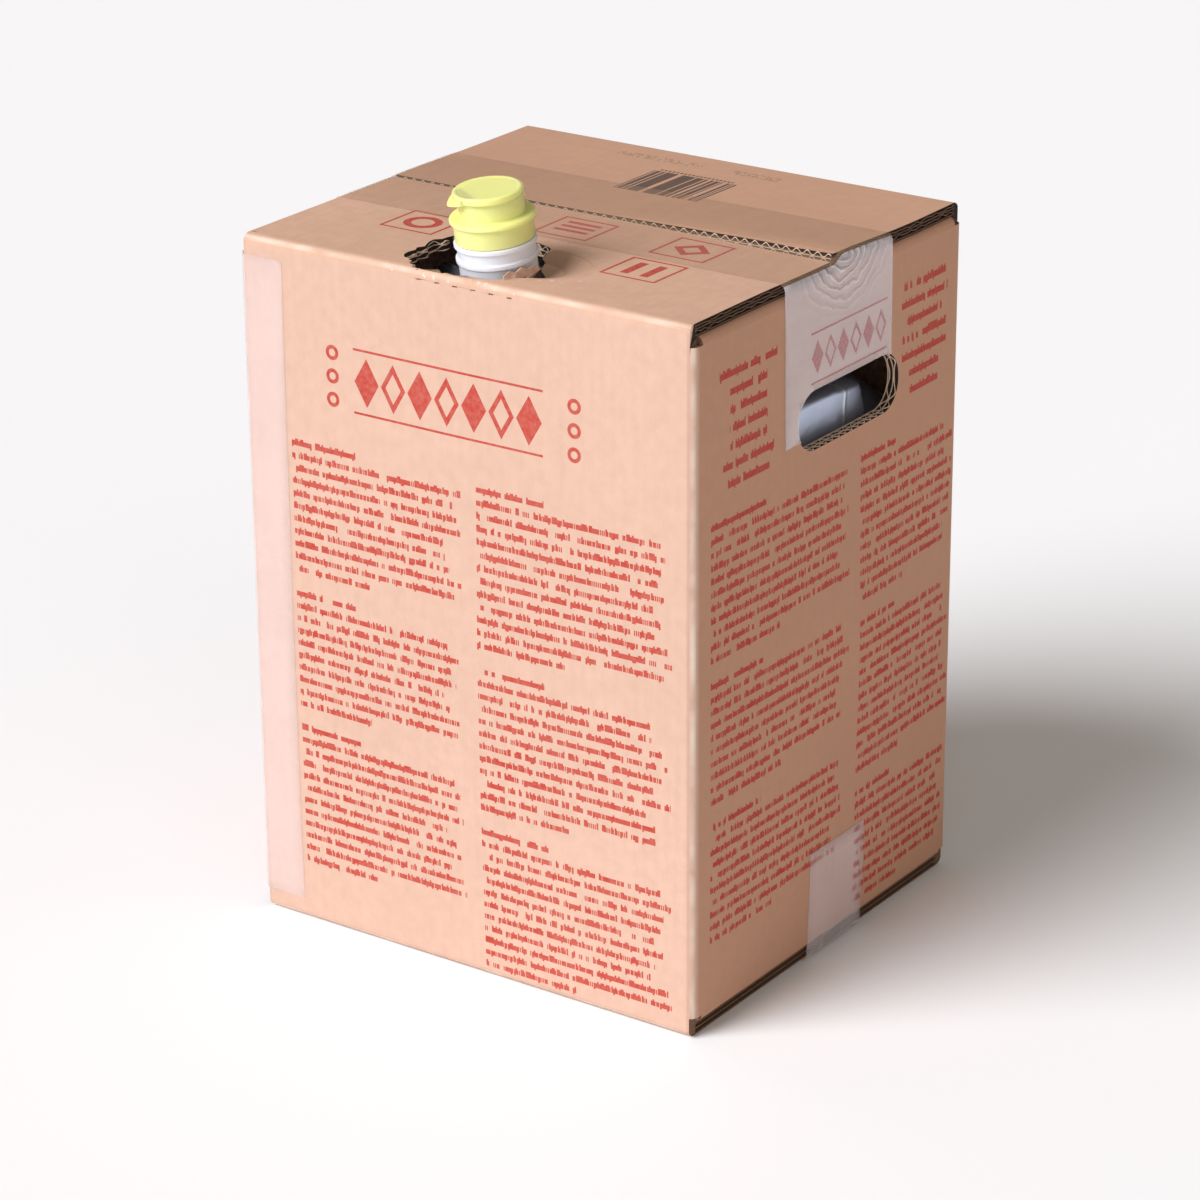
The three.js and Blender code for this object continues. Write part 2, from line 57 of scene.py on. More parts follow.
# The carton's outside faces, from the frame
CARTON_LOW, CARTON_HIGH = (Vector(corner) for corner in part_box("carton"))
TAPE_HIGH = Vector(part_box("top_tape")[1])
TAPE_STAND = 0.6 * MM
HALF_X = CARTON_HIGH.x
HALF_Y = CARTON_HIGH.y
FOOT_Z = CARTON_LOW.z
TOP_Z = TAPE_HIGH.z - TAPE_STAND
BOARD = 6.5 * MM

# Hand holes and torn opening, where the part has them
HOLE_Y = 14.5 * MM
HOLE_Z = TOP_Z - 80.5 * MM
HOLE_LENGTH = 101 * MM
HOLE_HEIGHT = 33 * MM
OPENING = Vector((-17, -91.5, 0)) * MM
OPENING_HALF_X = 33 * MM
OPENING_HALF_Y = 35.5 * MM
TEAR_DEPTH = 1.3 * MM
NICK_DEPTH = 2.2 * MM
NICK_REACH = 6 * MM
DENT = Vector((15.5, -89, 0)) * MM
DENT_HALF_X = 36 * MM
DENT_HALF_Y = 26 * MM
DENT_DEPTH = 7.5 * MM
CREASE_RADIUS = 5 * MM
SEAM_Y = 1.4 * MM

# The bag's film: its mesh, how far out it lies by the hand holes, and its weld
FILM_MESH = 4 * MM
FILM_FULL_X = 133.5 * MM
FILM_RETREAT = 30 * MM
WELD_Y = 20 * MM

# In millimetres: the middle of the tape's ripples, the painted highlight on the film's weld, and the
# height above which the film gets painted shade under the flaps
RIPPLE_Y, RIPPLE_Z = 12, 399
WELD_SHINE_Y = 28
FILM_SHADE_Z = 346

# The way the key light shines
KEY_WAY = Vector((0.34, 0.69, -0.64))

# What a face of the carton shows, as the place of its material
LINER, CUT_EDGE, INSIDE, PAINTED_FLUTE_SHADE = range(4)

# Beyond these, in millimetres, the liner faces up, sideways, and to the front or back
FACES_UP = TOP_Z / MM - 4
FACES_SIDEWAYS = HALF_X / MM - 4.5
FACES_FRONT = HALF_Y / MM - 4.5

# Painted light and shade on the liner by face: the back flap and the side panels darker, the front
# paler, as a painted sheen
BACK_FLAP_PAINTED_SHADE = (0.70, 0.58, 0.48)
SIDE_PAINTED_SHADE = (0.72, 0.52, 0.40)
FRONT_PAINTED_SHEEN = (0.97, 1.10, 1.30)

# The spout's seat: where its axis meets the carton's top, and how it leans
SPOUT_SEAT = (
    Matrix.Translation((3.5 * MM, -100.5 * MM, TOP_Z))
    @ Matrix.Rotation(math.radians(6.3), 4, "X")
    @ Matrix.Rotation(math.radians(-2.4), 4, "Y")
)
BEAK_TURN = Matrix.Rotation(math.radians(-121), 4, "Z")
CLOSURE_SEAT = SPOUT_SEAT @ BEAK_TURN


class BoardLook(bpy.types.PropertyGroup):
    """Sizes and colours of the corrugated board."""

    kraft: FloatVectorProperty(
        name="Kraft", description="Colour of the outer liner", default=(0.66, 0.405, 0.28),
        subtype="COLOR", min=0, max=1,
    )
    cut: FloatVectorProperty(
        name="Cut edge", description="Colour of the board inside its cut edges",
        default=(0.17, 0.095, 0.055), subtype="COLOR", min=0, max=1,
    )
    # Painted shade: this near-black goes on the faces between the flutes, where their cavities are
    # shaded
    gap: FloatVectorProperty(
        name="Gap", description="Colour deep between the flutes", default=(0.026, 0.013, 0.008),
        subtype="COLOR", min=0, max=1,
    )
    medium: FloatVectorProperty(
        name="Fluting", description="Colour of the fluted paper", default=(0.78, 0.58, 0.43),
        subtype="COLOR", min=0, max=1,
    )
    ink: FloatVectorProperty(
        name="Ink", description="Colour of the print", default=(0.46, 0.040, 0.024),
        subtype="COLOR", min=0, max=1,
    )
    bulge: FloatProperty(
        name="Bulge", description="How far the filled bag pushes the panels out",
        default=0.0028, min=0, max=0.01, unit="LENGTH",
    )
    flap_lift: FloatProperty(
        name="Flap lift", description="How far the back top flap stands above the front one",
        default=0.003, min=0, max=0.01, unit="LENGTH",
    )
    outer_pitch: FloatProperty(
        name="Outer flute", description="Pitch of the outer fluting", default=0.0064,
        min=0.002, max=0.02, unit="LENGTH",
    )
    inner_pitch: FloatProperty(
        name="Inner flute", description="Pitch of the inner fluting", default=0.0077,
        min=0.002, max=0.02, unit="LENGTH",
    )
    grid: FloatProperty(
        name="Grid", description="Spacing of the cuts that let the panels bend",
        default=0.022, min=0.004, max=0.1, unit="LENGTH",
    )


class PlasticLook(bpy.types.PropertyGroup):
    """Colours of the moulded pieces, the bag's film and the tape."""

    yellow: FloatVectorProperty(
        name="Closure", description="Colour of the closure and lid", default=(0.94, 0.94, 0.30),
        subtype="COLOR", min=0, max=1,
    )
    white: FloatVectorProperty(
        name="Spout", description="Colour of the spout", default=(0.84, 0.85, 0.88),
        subtype="COLOR", min=0, max=1,
    )
    film: FloatVectorProperty(
        name="Film", description="Colour of the bag's film", default=(0.56, 0.62, 0.78),
        subtype="COLOR", min=0, max=1,
    )
    # Laid over the tape on the side and front panels, this colour is a painted sheen
    tape: FloatVectorProperty(
        name="Tape", description="Colour of the packing tape", default=(1.0, 0.91, 0.93),
        subtype="COLOR", min=0, max=1,
    )
    turns: IntProperty(
        name="Steps", description="Steps round each turned piece", default=96, min=24, max=256,
    )


class StageLook(bpy.types.PropertyGroup):
    """Camera, lights and floor."""

    azimuth: FloatProperty(
        name="Azimuth", description="Camera's angle round the carton", subtype="ANGLE",
        default=math.radians(35.03),
    )
    elevation: FloatProperty(
        name="Elevation", description="Camera's angle above the horizon", subtype="ANGLE",
        default=math.radians(21.93),
    )
    roll: FloatProperty(
        name="Roll", description="Camera's turn about its own axis", subtype="ANGLE",
        default=math.radians(-0.43),
    )
    distance: FloatProperty(
        name="Distance", description="From the camera to the carton's middle", default=2.264,
        unit="LENGTH",
    )
    lens: FloatProperty(
        name="Lens", description="Focal length in millimetres on a 36 mm sensor", default=122.67,
    )
    floor: FloatVectorProperty(
        name="Floor", description="Colour of the floor", default=(0.95, 0.95, 0.95),
        subtype="COLOR", min=0, max=1,
    )
    key_strength: FloatProperty(
        name="Key light", description="Strength of the large soft light", default=3.55,
    )
    key_softness: FloatProperty(
        name="Softness", description="Angle that the large light fills", subtype="ANGLE",
        default=math.radians(38),
    )
    fill_strength: FloatProperty(
        name="Fill light", description="Strength of the soft light from the camera's side",
        default=0.55,
    )
    sky: FloatProperty(name="Sky", description="Strength of the light all round", default=0.22)


def looks():
    """The three property groups on the scene."""
    scene = bpy.context.scene
    return scene.carton_board, scene.carton_plastic, scene.carton_stage


# Shapes

def smooth_step(value, low, high):
    """0 below low, 1 above high, and a smooth rise between them."""
    share = min(1.0, max(0.0, (value - low) / (high - low)))
    return share * share * (3 - 2 * share)


def bent(point, board):
    """Where a point of the flat-sided carton lies on the real one, whose panels bulge and flaps sag."""
    x, y, z = point
    across_x = max(0.0, 1 - (x / HALF_X) ** 2)
    across_y = max(0.0, 1 - (y / HALF_Y) ** 2)
    height = (z - FOOT_Z) / (TOP_Z - FOOT_Z)
    belly = max(0.0, math.sin(math.pi * min(1.0, max(0.0, height)) ** 0.8))
    at_front_back = smooth_step(abs(y), HALF_Y - 16 * MM, HALF_Y - BOARD)
    at_sides = smooth_step(abs(x), HALF_X - 16 * MM, HALF_X - BOARD)
    waver = 0.35 * noise.noise(Vector((x, y, z)) * 14)
    push_y = board.bulge * (across_x * belly * (1 + waver)) * at_front_back
    push_x = board.bulge * (across_y * belly * (1 + waver)) * at_sides
    lifted = Vector((x + math.copysign(push_x, x), y + math.copysign(push_y, y), z))
    at_top = smooth_step(z, TOP_Z - 2.6 * BOARD, TOP_Z - BOARD)
    near_seam = smooth_step(HALF_Y - abs(y - SEAM_Y), 0.35 * HALF_Y, HALF_Y)
    rightward = smooth_step(x, -0.2 * HALF_X, HALF_X)
    if y > SEAM_Y:
        lifted.z += at_top * near_seam * board.flap_lift * (0.15 + 0.85 * rightward)
    else:
        lifted.z -= at_top * near_seam * board.flap_lift * 0.3 * rightward
    ripple = noise.noise(Vector((x * 9, y * 9, 3.0)))
    lifted.z += at_top * 0.5 * MM * ripple * across_x * across_y
    return lifted


def mesh_object(name, mesh_maker, material):
    """A new object at the origin from a filled bmesh."""
    mesh = bpy.data.meshes.new(name)
    mesh_maker.to_mesh(mesh)
    mesh_maker.free()
    piece = bpy.data.objects.new(name, mesh)
    bpy.context.scene.collection.objects.link(piece)
    mesh.materials.append(material)
    return piece


def shade(piece, degrees=35):
    """Smooth shading with sharp edges kept."""
    for face in piece.data.polygons:
        face.use_smooth = True
    piece.data.set_sharp_from_angle(angle=math.radians(degrees))


def node_copy(node):
    """A bmesh copy of a CAD node with its loose triangles joined."""
    copy = bmesh.new()
    copy.from_mesh(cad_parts[node].data)
    bmesh.ops.remove_doubles(copy, verts=copy.verts, dist=0.002 * MM)
    return copy


def gridded(copy, step):
    """Cuts a mesh by evenly spaced planes, so that it can bend."""
    for axis in range(3):
        values = [vert.co[axis] for vert in copy.verts]
        low, high = min(values), max(values)
        count = max(1, round((high - low) / step))
        normal = Vector((0, 0, 0))
        normal[axis] = 1
        for index in range(1, count):
            point = normal * (low + (high - low) * index / count)
            geometry = [*copy.verts, *copy.edges, *copy.faces]
            bmesh.ops.bisect_plane(
                copy, geom=geometry, dist=1e-7, plane_co=point, plane_no=normal,
            )
    bmesh.ops.triangulate(copy, faces=copy.faces)
    return copy


def turned(profile, steps):
    """A closed solid turned about Z from (radius, height) pairs in millimetres."""
    made = bmesh.new()
    ring = [made.verts.new((radius * MM, 0, height * MM)) for radius, height in profile]
    edges = [made.edges.new(pair) for pair in zip(ring, ring[1:])]
    bmesh.ops.spin(
        made, geom=[*ring, *edges], cent=(0, 0, 0), axis=(0, 0, 1), angle=2 * math.pi,
        steps=steps, use_merge=True, use_duplicate=False,
    )
    bmesh.ops.remove_doubles(made, verts=made.verts, dist=0.001 * MM)
    bmesh.ops.recalc_face_normals(made, faces=made.faces)
    return made


def soften(piece, width, segments=2, angle=30):
    """Rounds a piece's edges with a bevel."""
    bevel = piece.modifiers.new("Soft edges", "BEVEL")
    bevel.width = width
    bevel.segments = segments
    bevel.limit_method = "ANGLE"
    bevel.angle_limit = math.radians(angle)
    bevel.use_clamp_overlap = True
    bevel.harden_normals = False
    even = piece.modifiers.new("Even shading", "WEIGHTED_NORMAL")
    even.keep_sharp = True


def strap(inner, outer, low, high):
    """A short piece of a ring on the -X side, in millimetres."""
    made = bmesh.new()
    corners = ((inner, low), (outer, low), (outer, high), (inner, high))
    turn = Matrix.Rotation(math.pi - 0.3, 4, "Z")
    points = [turn @ Vector((radius * MM, 0, height * MM)) for radius, height in corners]
    section = [made.verts.new(point) for point in points]
    face = made.faces.new(section)
    bmesh.ops.spin(
        made, geom=[face, *face.edges, *section], cent=(0, 0, 0), axis=(0, 0, 1), angle=0.6, steps=8,
        use_merge=False, use_duplicate=False,
    )
    bmesh.ops.holes_fill(made, edges=made.edges, sides=4)
    bmesh.ops.recalc_face_normals(made, faces=made.faces)
    return made


def added(made, other):
    """Puts another bmesh's faces into a bmesh."""
    spare = bpy.data.meshes.new("spare")
    other.to_mesh(spare)
    other.free()
    made.from_mesh(spare)
    bpy.data.meshes.remove(spare)


def pleats_at_neck():
    """The film's pleats, which rise over the weld and fall away under the board."""
    made = bmesh.new()
    steps = 144
    rings = (
        (21.3, -13.9), (22.6, -14.2), (24.6, -14.9), (28, -15.9), (34, -17.0), (42, -18.0),
        (54, -19.0), (70, -22), (88, -32), (110, -50),
    )
    rows = []
    for index, (radius, height) in enumerate(rings):
        row = []
        for step in range(steps + 1):
            turn = 2 * math.pi * (step % steps) / steps
            way = Vector((math.cos(turn), math.sin(turn), 0))
            fold = math.sin(17 * turn + 3 * noise.noise(way * 1.7)) + 0.6 * math.sin(29 * turn + 1)
            swell = min(1.0, index / 3) * (1.7 + 0.25 * index) * fold
            swell += min(1.0, index / 3) * 3 * noise.noise(way * radius * 0.06)
            row.append(way * radius * MM + Vector((0, 0, (height + swell) * MM)))
        rows.append(row)
    ribbon(made, rows)
    bmesh.ops.remove_doubles(made, verts=made.verts, dist=0.01 * MM)
    bmesh.ops.recalc_face_normals(made, faces=made.faces)
    made.transform(SPOUT_SEAT)
    limit_x = HALF_X - BOARD - 3 * MM
    limit_y = HALF_Y - BOARD - 3 * MM
    for vert in made.verts:
        vert.co.x = max(-limit_x, min(limit_x, vert.co.x))
        vert.co.y = max(-limit_y, min(limit_y, vert.co.y))
    return made


def pressed_out(place):
    """Where a point of the flat-sided bag lies once the film is pressed out towards the hand holes."""
    on_right = place.x > 0
    full = FILM_FULL_X - FILM_RETREAT * smooth_step(place.z, 0.315, 0.331) * on_right
    high = 0.345 if on_right else 0.365
    if 0.27 < place.z < high and abs(place.x) < full:
        share = math.exp(-(((place.y - HOLE_Y) / 0.07) ** 4)) * smooth_step(abs(place.x), 0.05, 0.09)
        share *= smooth_step(place.z, 0.27, 0.29)
        share *= 1 - smooth_step(place.z, high - 0.015, high)
        share *= 1 - smooth_step(place.y, 0.052, 0.066) * on_right
        place.x += math.copysign((full - abs(place.x)) * share, place.x)
    return place


def crumpled(place, neck):
    """How deep the film is creased and pleated at a point, less the ridge of its weld."""
    height = smooth_step(place.z, 0.24, 0.33)
    offset = place - neck
    turn = math.atan2(offset.y, offset.x)
    reach = math.hypot(offset.x, offset.y)
    pleat = math.sin(15 * turn + 2.5 * noise.noise(place * 20))
    fade = smooth_step(reach, 0.016, 0.05) * (1 - smooth_step(reach, 0.07, 0.16))
    crumple = noise.turbulence(place * 17, 2, False)
    depth = height * (2.2 * MM * fade * (1 + pleat) + 2.4 * MM * crumple)
    depth += (1 - height) * 1.0 * MM * crumple
    weld = math.exp(-((abs(place.y - WELD_Y) / (1.6 * MM)) ** 2)) * smooth_step(place.x, 0.04, 0.07)
    return depth - 1.6 * MM * weld * height


# Patterns written as formulas

class Wire:
    """A number that runs through a node tree."""

    def __init__(self, tree, socket):
        self.tree = tree
        self.socket = socket

    def through(self, operation, *others):
        """This number and others put through a Math node."""
        node = self.tree.nodes.new("ShaderNodeMath")
        node.operation = operation
        for slot, value in zip(node.inputs, (self, *others)):
            if isinstance(value, Wire):
                self.tree.links.new(value.socket, slot)
            else:
                slot.default_value = value
        return Wire(self.tree, node.outputs[0])

    def __add__(self, other):
        return self.through("ADD", other)

    def __sub__(self, other):
        return self.through("SUBTRACT", other)

    def __mul__(self, other):
        return self.through("MULTIPLY", other)

    def __truediv__(self, other):
        return self.through("DIVIDE", other)

    __radd__ = __add__
    __rmul__ = __mul__

    def __rsub__(self, other):
        return (self * -1) + other

    def __abs__(self):
        return self.through("ABSOLUTE")

    def above(self, limit):
        return self.through("GREATER_THAN", limit)

    def below(self, limit):
        return self.through("LESS_THAN", limit)

    def between(self, low, high):
        return self.above(low) * self.below(high)

    def equals(self, value):
        return self.through("COMPARE", value, 0.5)

    def floor(self):
        return self.through("FLOOR")

    def fraction(self):
        return self.through("FRACT")

    def larger(self, other):
        return self.through("MAXIMUM", other)

    def smaller(self, other):
        return self.through("MINIMUM", other)


def vector_of(tree, *parts):
    """Three numbers as one vector socket."""
    node = tree.nodes.new("ShaderNodeCombineXYZ")
    for slot, value in zip(node.inputs, parts):
        if isinstance(value, Wire):
            tree.links.new(value.socket, slot)
        else:
            slot.default_value = value
    return node.outputs[0]


def chance(tree, *parts):
    """A different random number for each whole-number address."""
    node = tree.nodes.new("ShaderNodeTexWhiteNoise")
    tree.links.new(vector_of(tree, *parts), node.inputs["Vector"])
    return Wire(tree, node.outputs["Value"])


def cloud(tree, place, scale, detail=3.0, stretch=(1, 1, 1)):
    """Noise over an object's coordinates, from 0 to 1."""
    mapping = tree.nodes.new("ShaderNodeMapping")
    mapping.inputs["Scale"].default_value = stretch
    tree.links.new(place, mapping.inputs["Vector"])
    node = tree.nodes.new("ShaderNodeTexNoise")
    node.inputs["Scale"].default_value = scale
    node.inputs["Detail"].default_value = detail
    tree.links.new(mapping.outputs[0], node.inputs["Vector"])
    return Wire(tree, node.outputs["Fac"])


def new_group(name, inputs, outputs):
    """A shader node group with named sockets, and its inner ends."""
    group = bpy.data.node_groups.new(name, "ShaderNodeTree")
    for label, kind in inputs:
        group.interface.new_socket(name=label, in_out="INPUT", socket_type=kind)
    for label, kind in outputs:
        group.interface.new_socket(name=label, in_out="OUTPUT", socket_type=kind)
    return group, group.nodes.new("NodeGroupInput"), group.nodes.new("NodeGroupOutput")


def millimetres(group, place):
    """The three coordinates of a place as numbers in millimetres."""
    split = group.nodes.new("ShaderNodeSeparateXYZ")
    group.links.new(place, split.inputs[0])
    return [Wire(group, socket) * (1 / MM) for socket in split.outputs]


def mixed(tree, factor, first, second):
    """A colour between two, which are colours or sockets."""
    node = tree.nodes.new("ShaderNodeMix")
    node.data_type = "RGBA"
    for slot, value in ((node.inputs[6], first), (node.inputs[7], second)):
        if isinstance(value, bpy.types.NodeSocket):
            tree.links.new(value, slot)
        else:
            slot.default_value = (*value[:3], 1)
    tree.links.new(factor.socket, node.inputs[0])
    return node.outputs[2]


def word_strokes(group, along, up, row, column, bold):
    """Short upright strokes in word-like runs: no letters, only the weight of a line of print.

    bold is 1 where the strokes are full, and 0 where some are narrow.
    """
    word = chance(group, (along / 2.3).floor(), row, column)
    stroke = (along / 1.15).floor()
    inside = (along / 1.15).fraction()
    shape = chance(group, stroke, row + 90, column)
    tall = shape.above(0.72)
    deep = shape.below(0.1)
    mark = up.below(1.42 + 1.05 * tall) * up.above(-1.42 - 0.95 * deep)
    narrow = 0.36 * shape.between(0.3, 0.6)
    mark = mark * inside.below(1 - narrow * (1 - bold)).above(0.5)
    return word.above(0.13) * mark


def text_columns(group, x, y, z):
    """Two columns of word-like rows in three paragraphs, on the panels all round."""
    on_side = abs(x).above(FACES_SIDEWAYS)
    face_x = x * (y.below(0) * 2 - 1)
    face_y = y * (x.above(0) * 2 - 1)
    along = face_x + (face_y - face_x) * on_side
    right = along.above(5 + 16 * on_side)

    def by_column(front_left, front_right, side_left, side_right):
        front = front_left + (front_right - front_left) * right
        side = side_left + (side_right - side_left) * right
        return front + (side - front) * on_side

    left_edge = by_column(-113.0, 10.0, -116.0, 26.0)
    width = by_column(113.0, 122.0, 131.0, 100.0)
    first_line = by_column(284.8, 283.1, 284.1, 279.4)
    first_gap = by_column(11.0, 13.0, 11.0, 12.0)
    second_gap = by_column(22.0, 26.0, 22.0, 26.0)
    count = by_column(35.0, 39.0, 33.0, 37.0)
    pitch = 7.24
    lines = (first_line + pitch / 2 - z) / pitch
    row = lines.floor()
    up = (0.5 - lines.fraction()) * pitch
    printed = row.above(-0.5) * row.below(count - 0.5)
    printed = printed * (1 - row.equals(first_gap)) * (1 - row.equals(second_gap))
    last = (row - first_gap + 1).equals(0) + (row - second_gap + 1).equals(0)
    last = last + (row - count + 1).equals(0)
    heading = row.equals(0) + (row - first_gap - 1).equals(0) + (row - second_gap - 1).equals(0)
    ragged = chance(group, row, right + 7, on_side)
    line_width = width * (0.88 + 0.12 * ragged) * (1 - 0.5 * last) * (1 - 0.6 * heading)
    start = along - left_edge
    printed = printed * start.between(0, line_width)
    column = right + on_side * 2 + 3
    return printed * word_strokes(group, start, up, row, column, heading)


def side_lists(group, x, y, z):
    """Short centred lines at the head of each side panel."""
    on_side = abs(x).above(FACES_SIDEWAYS)
    along = y * (x.above(0) * 2 - 1)
    right = along.above(0)
    middle = -82.0 + 174.0 * right
    pitch = 9.85
    lines = (362.6 + pitch / 2 - z) / pitch
    row = lines.floor()
    up = (0.5 - lines.fraction()) * pitch * 0.8
    reach = 15 + 13 * chance(group, row, right, 5.0)
    printed = on_side * row.between(-0.5, 6.5) * abs(along - middle).below(reach)
    return printed * word_strokes(group, along + 200, up, row, right + 11, 1)


def lozenge_band(x, z, low, middle, pitch, count, half):
    """A chain of plain lozenges, filled and open by turns, between two rules."""
    place = (x - low) / pitch
    number = place.floor()
    across = abs(place.fraction() - 0.5) * (2 * pitch / (pitch * 0.92))
    rise = abs(z - middle) / half
    size = across + rise
    odd = (number * 0.5).fraction().above(0.25)
    chain = size.below(1) * (1 - odd * size.below(0.62)) * number.between(-0.5, count - 0.5)
    rule = abs(abs(z - middle) - (half + 4)).below(0.65) * place.between(0, count)
    return chain + rule


def front_devices(group, x, y, z):
    """A band of lozenges across the front and back panels, with three spots at each end."""
    on_front = abs(y).above(FACES_FRONT)
    along = x * (y.below(0) * 2 - 1)
    ink = lozenge_band(along, z, -69.5, 327.5, 17.5, 7, 13.5)
    spot_x = abs(abs(along + 5.5) - 78) / 4.2
    spot_z = (((z - 321) / 13).fraction() - 0.5) * (13 / 4.2)
    spots = (spot_x * spot_x + spot_z * spot_z).between(0.25, 1) * abs(z - 327.5).below(19.5)
    on_side = abs(x).above(FACES_SIDEWAYS)
    across = y * (x.above(0) * 2 - 1)
    side = lozenge_band(across, z, -24.0, 349.0, 12.6, 6, 9.5)
    return on_front * (ink + spots) + on_side * side


def top_devices(group, x, y, z):
    """Square frames with plain shapes in them, and a patch of unequal stripes."""
    on_top = z.above(FACES_UP)
    ink = None
    for index, (centre_x, centre_y) in enumerate(
        ((-75.0, -61.5), (-0.5, -25.5), (72.0, -23.5), (71.0, -66.5))
    ):
        across = (x - centre_x) / 17.3
        rise = (y - centre_y) / 16.2
        reach = abs(across).larger(abs(rise))
        mark = reach.between(0.9, 1)
        inner = (
            (across * across + rise * rise).between(0.14, 0.4),
            (rise * 2.4).fraction().below(0.5) * reach.below(0.62),
            (abs(across) + abs(rise)).between(0.34, 0.66),
            abs(across).between(0.2, 0.5) * abs(rise).below(0.62),
        )[index]
        ink = mark + inner if ink is None else ink + mark + inner
    return on_top * ink


def stripe_patch(group, x, y, z):
    """A patch of unequal dark stripes on the back top flap."""
    on_top = z.above(FACES_UP)
    stripe = chance(group, (x / 0.95).floor(), 4.0, 9.0).above(0.45)
    block = x.between(-30, 26) * y.between(49, 90)
    label = x.between(-26, 22) * y.between(91.5, 93.6) * (x / 2.6).fraction().below(0.62)
    return on_top * (stripe * block + label)


def inkjet_marks(group, x, y, z):
    """Faint dark dots in a row on the back top flap."""
    on_top = z.above(FACES_UP)
    cell = (x / 1.5).floor()
    row = (y / 1.7).floor()
    dot = chance(group, cell, row, 3.0).above(0.5)
    dot = dot * (x / 1.5).fraction().between(0.15, 0.85) * (y / 1.7).fraction().between(0.15, 0.85)
    spans = x.between(-66, -10) + x.between(10, 50)
    gaps = chance(group, (x / 4.5).floor(), 1.0, 2.0).above(0.2)
    return on_top * dot * spans * gaps * y.between(106.5, 113.5)


def print_group():
    """Everything printed on the carton, as masks over its Object coordinates."""
    group, start, end = new_group(
        "Carton print",
        [("Place", "NodeSocketVector")],
        [("Ink", "NodeSocketFloat"), ("Marks", "NodeSocketFloat")],
    )
    x, y, z = millimetres(group, start.outputs["Place"])
    ink = text_columns(group, x, y, z) + side_lists(group, x, y, z)
    ink = ink + front_devices(group, x, y, z) + top_devices(group, x, y, z)
    uneven = cloud(group, start.outputs["Place"], 420, 2.0)
    wide = cloud(group, start.outputs["Place"], 25, 2.0)
    strength = 0.70 + 0.42 * uneven * (0.6 + 0.8 * wide)
    ink = ink.smaller(1.0) * strength
    group.links.new(ink.smaller(1.0).socket, end.inputs["Ink"])
    marks = inkjet_marks(group, x, y, z) * 0.5 + stripe_patch(group, x, y, z) * (0.7 + 0.25 * wide)
    group.links.new(marks.smaller(1.0).socket, end.inputs["Marks"])
    return group


def from_dent(x, y, shift):
    """0 in the middle of the pushed-in dent and 1 at its rim, moved along X by some millimetres."""
    dent_x = (x - DENT.x / MM - shift) / (DENT_HALF_X / MM)
    dent_y = (y - DENT.y / MM) / (DENT_HALF_Y / MM)
    return dent_x * dent_x + dent_y * dent_y


def tinted(colour, tint):
    """A colour with each of its parts multiplied by the tint's."""
    return [part * share for part, share in zip(colour, tint)]


def flute_group(board):
    """The washboard that shows through the liner, and the paper's clouds and fibres."""
    group, start, end = new_group(
        "Liner over flutes",
        [("Place", "NodeSocketVector")],
        [
            ("Washboard", "NodeSocketFloat"), ("Clouds", "NodeSocketFloat"),
            ("Fibre", "NodeSocketFloat"), ("Wear and fold highlight", "NodeSocketFloat"),
        ],
    )
    place = start.outputs["Place"]
    x, y, z = millimetres(group, place)
    on_side = abs(x).above(HALF_X / MM - 5)
    across = x + (y - x) * on_side * z.below(TOP_Z / MM - 6)
    drift = cloud(group, place, 9, 0.0)
    phase = (across + drift * 3) * (2 * math.pi * MM / board.outer_pitch)
    wave = phase.through("SINE")
    patchy = cloud(group, place, 14, 1.0)
    group.links.new((wave * (patchy * 1.6 - 0.35).larger(0)).socket, end.inputs["Washboard"])
    group.links.new(cloud(group, place, 7, 4.0).socket, end.inputs["Clouds"])
    fibre = cloud(group, place, 900, 2.0, (1, 1, 0.25))
    group.links.new(fibre.socket, end.inputs["Fibre"])
    near_x = (abs(x) - (HALF_X / MM - 3.2)).larger(0)
    near_y = (abs(y) - (HALF_Y / MM - 3.2)).larger(0)
    from_ends = (abs(z - (TOP_Z + FOOT_Z) / 2 / MM) - ((TOP_Z - FOOT_Z) / 2 / MM - 3.2)).larger(0)
    corner = near_x * near_y + near_x * from_ends + near_y * from_ends
    scuffed = cloud(group, place, 60, 2.0)
    wear = corner * 0.28 * (scuffed * 2.6 - 0.7).larger(0)
    rim = from_dent(x, y, 6).between(0.75, 1.3) * z.above(FACES_UP)
    # Pale flecks along the front fold: scuffs, and a painted highlight where the rounded fold catches
    # the light
    fold = z.above(TOP_Z / MM - 3.5) * y.below(-HALF_Y / MM + 3) * x.between(-45, 42)
    flecks = cloud(group, place, 330, 2.0).above(0.66)
    bare_and_highlight = (flecks * (rim * 0.7 + fold * 2.2) * (scuffed * 2.2 - 0.6).larger(0)).smaller(1.0)
    group.links.new((wear + bare_and_highlight).smaller(1.0).socket, end.inputs["Wear and fold highlight"])
    return group


def material_base(name, roughness, metallic=0.0):
    """A new material, its tree, its main shader and its Object coordinates."""
    material = bpy.data.materials.new(name)
    material.use_nodes = True
    tree = material.node_tree
    shader = tree.nodes["Principled BSDF"]
    shader.inputs["Roughness"].default_value = roughness
    shader.inputs["Metallic"].default_value = metallic
    place = tree.nodes.new("ShaderNodeTexCoord").outputs["Object"]
    return material, tree, shader, place


def placed_group(tree, group, place):
    """A group node fed with Object coordinates."""
    node = tree.nodes.new("ShaderNodeGroup")
    node.node_tree = group
    tree.links.new(place, node.inputs["Place"])
    return node


def bumped(tree, shader, height, distance, strength=1.0):
    """Feeds a height into the shader's normal."""
    bump = tree.nodes.new("ShaderNodeBump")
    bump.inputs["Strength"].default_value = strength
    bump.inputs["Distance"].default_value = distance
    tree.links.new(height.socket, bump.inputs["Height"])
    tree.links.new(bump.outputs[0], shader.inputs["Normal"])


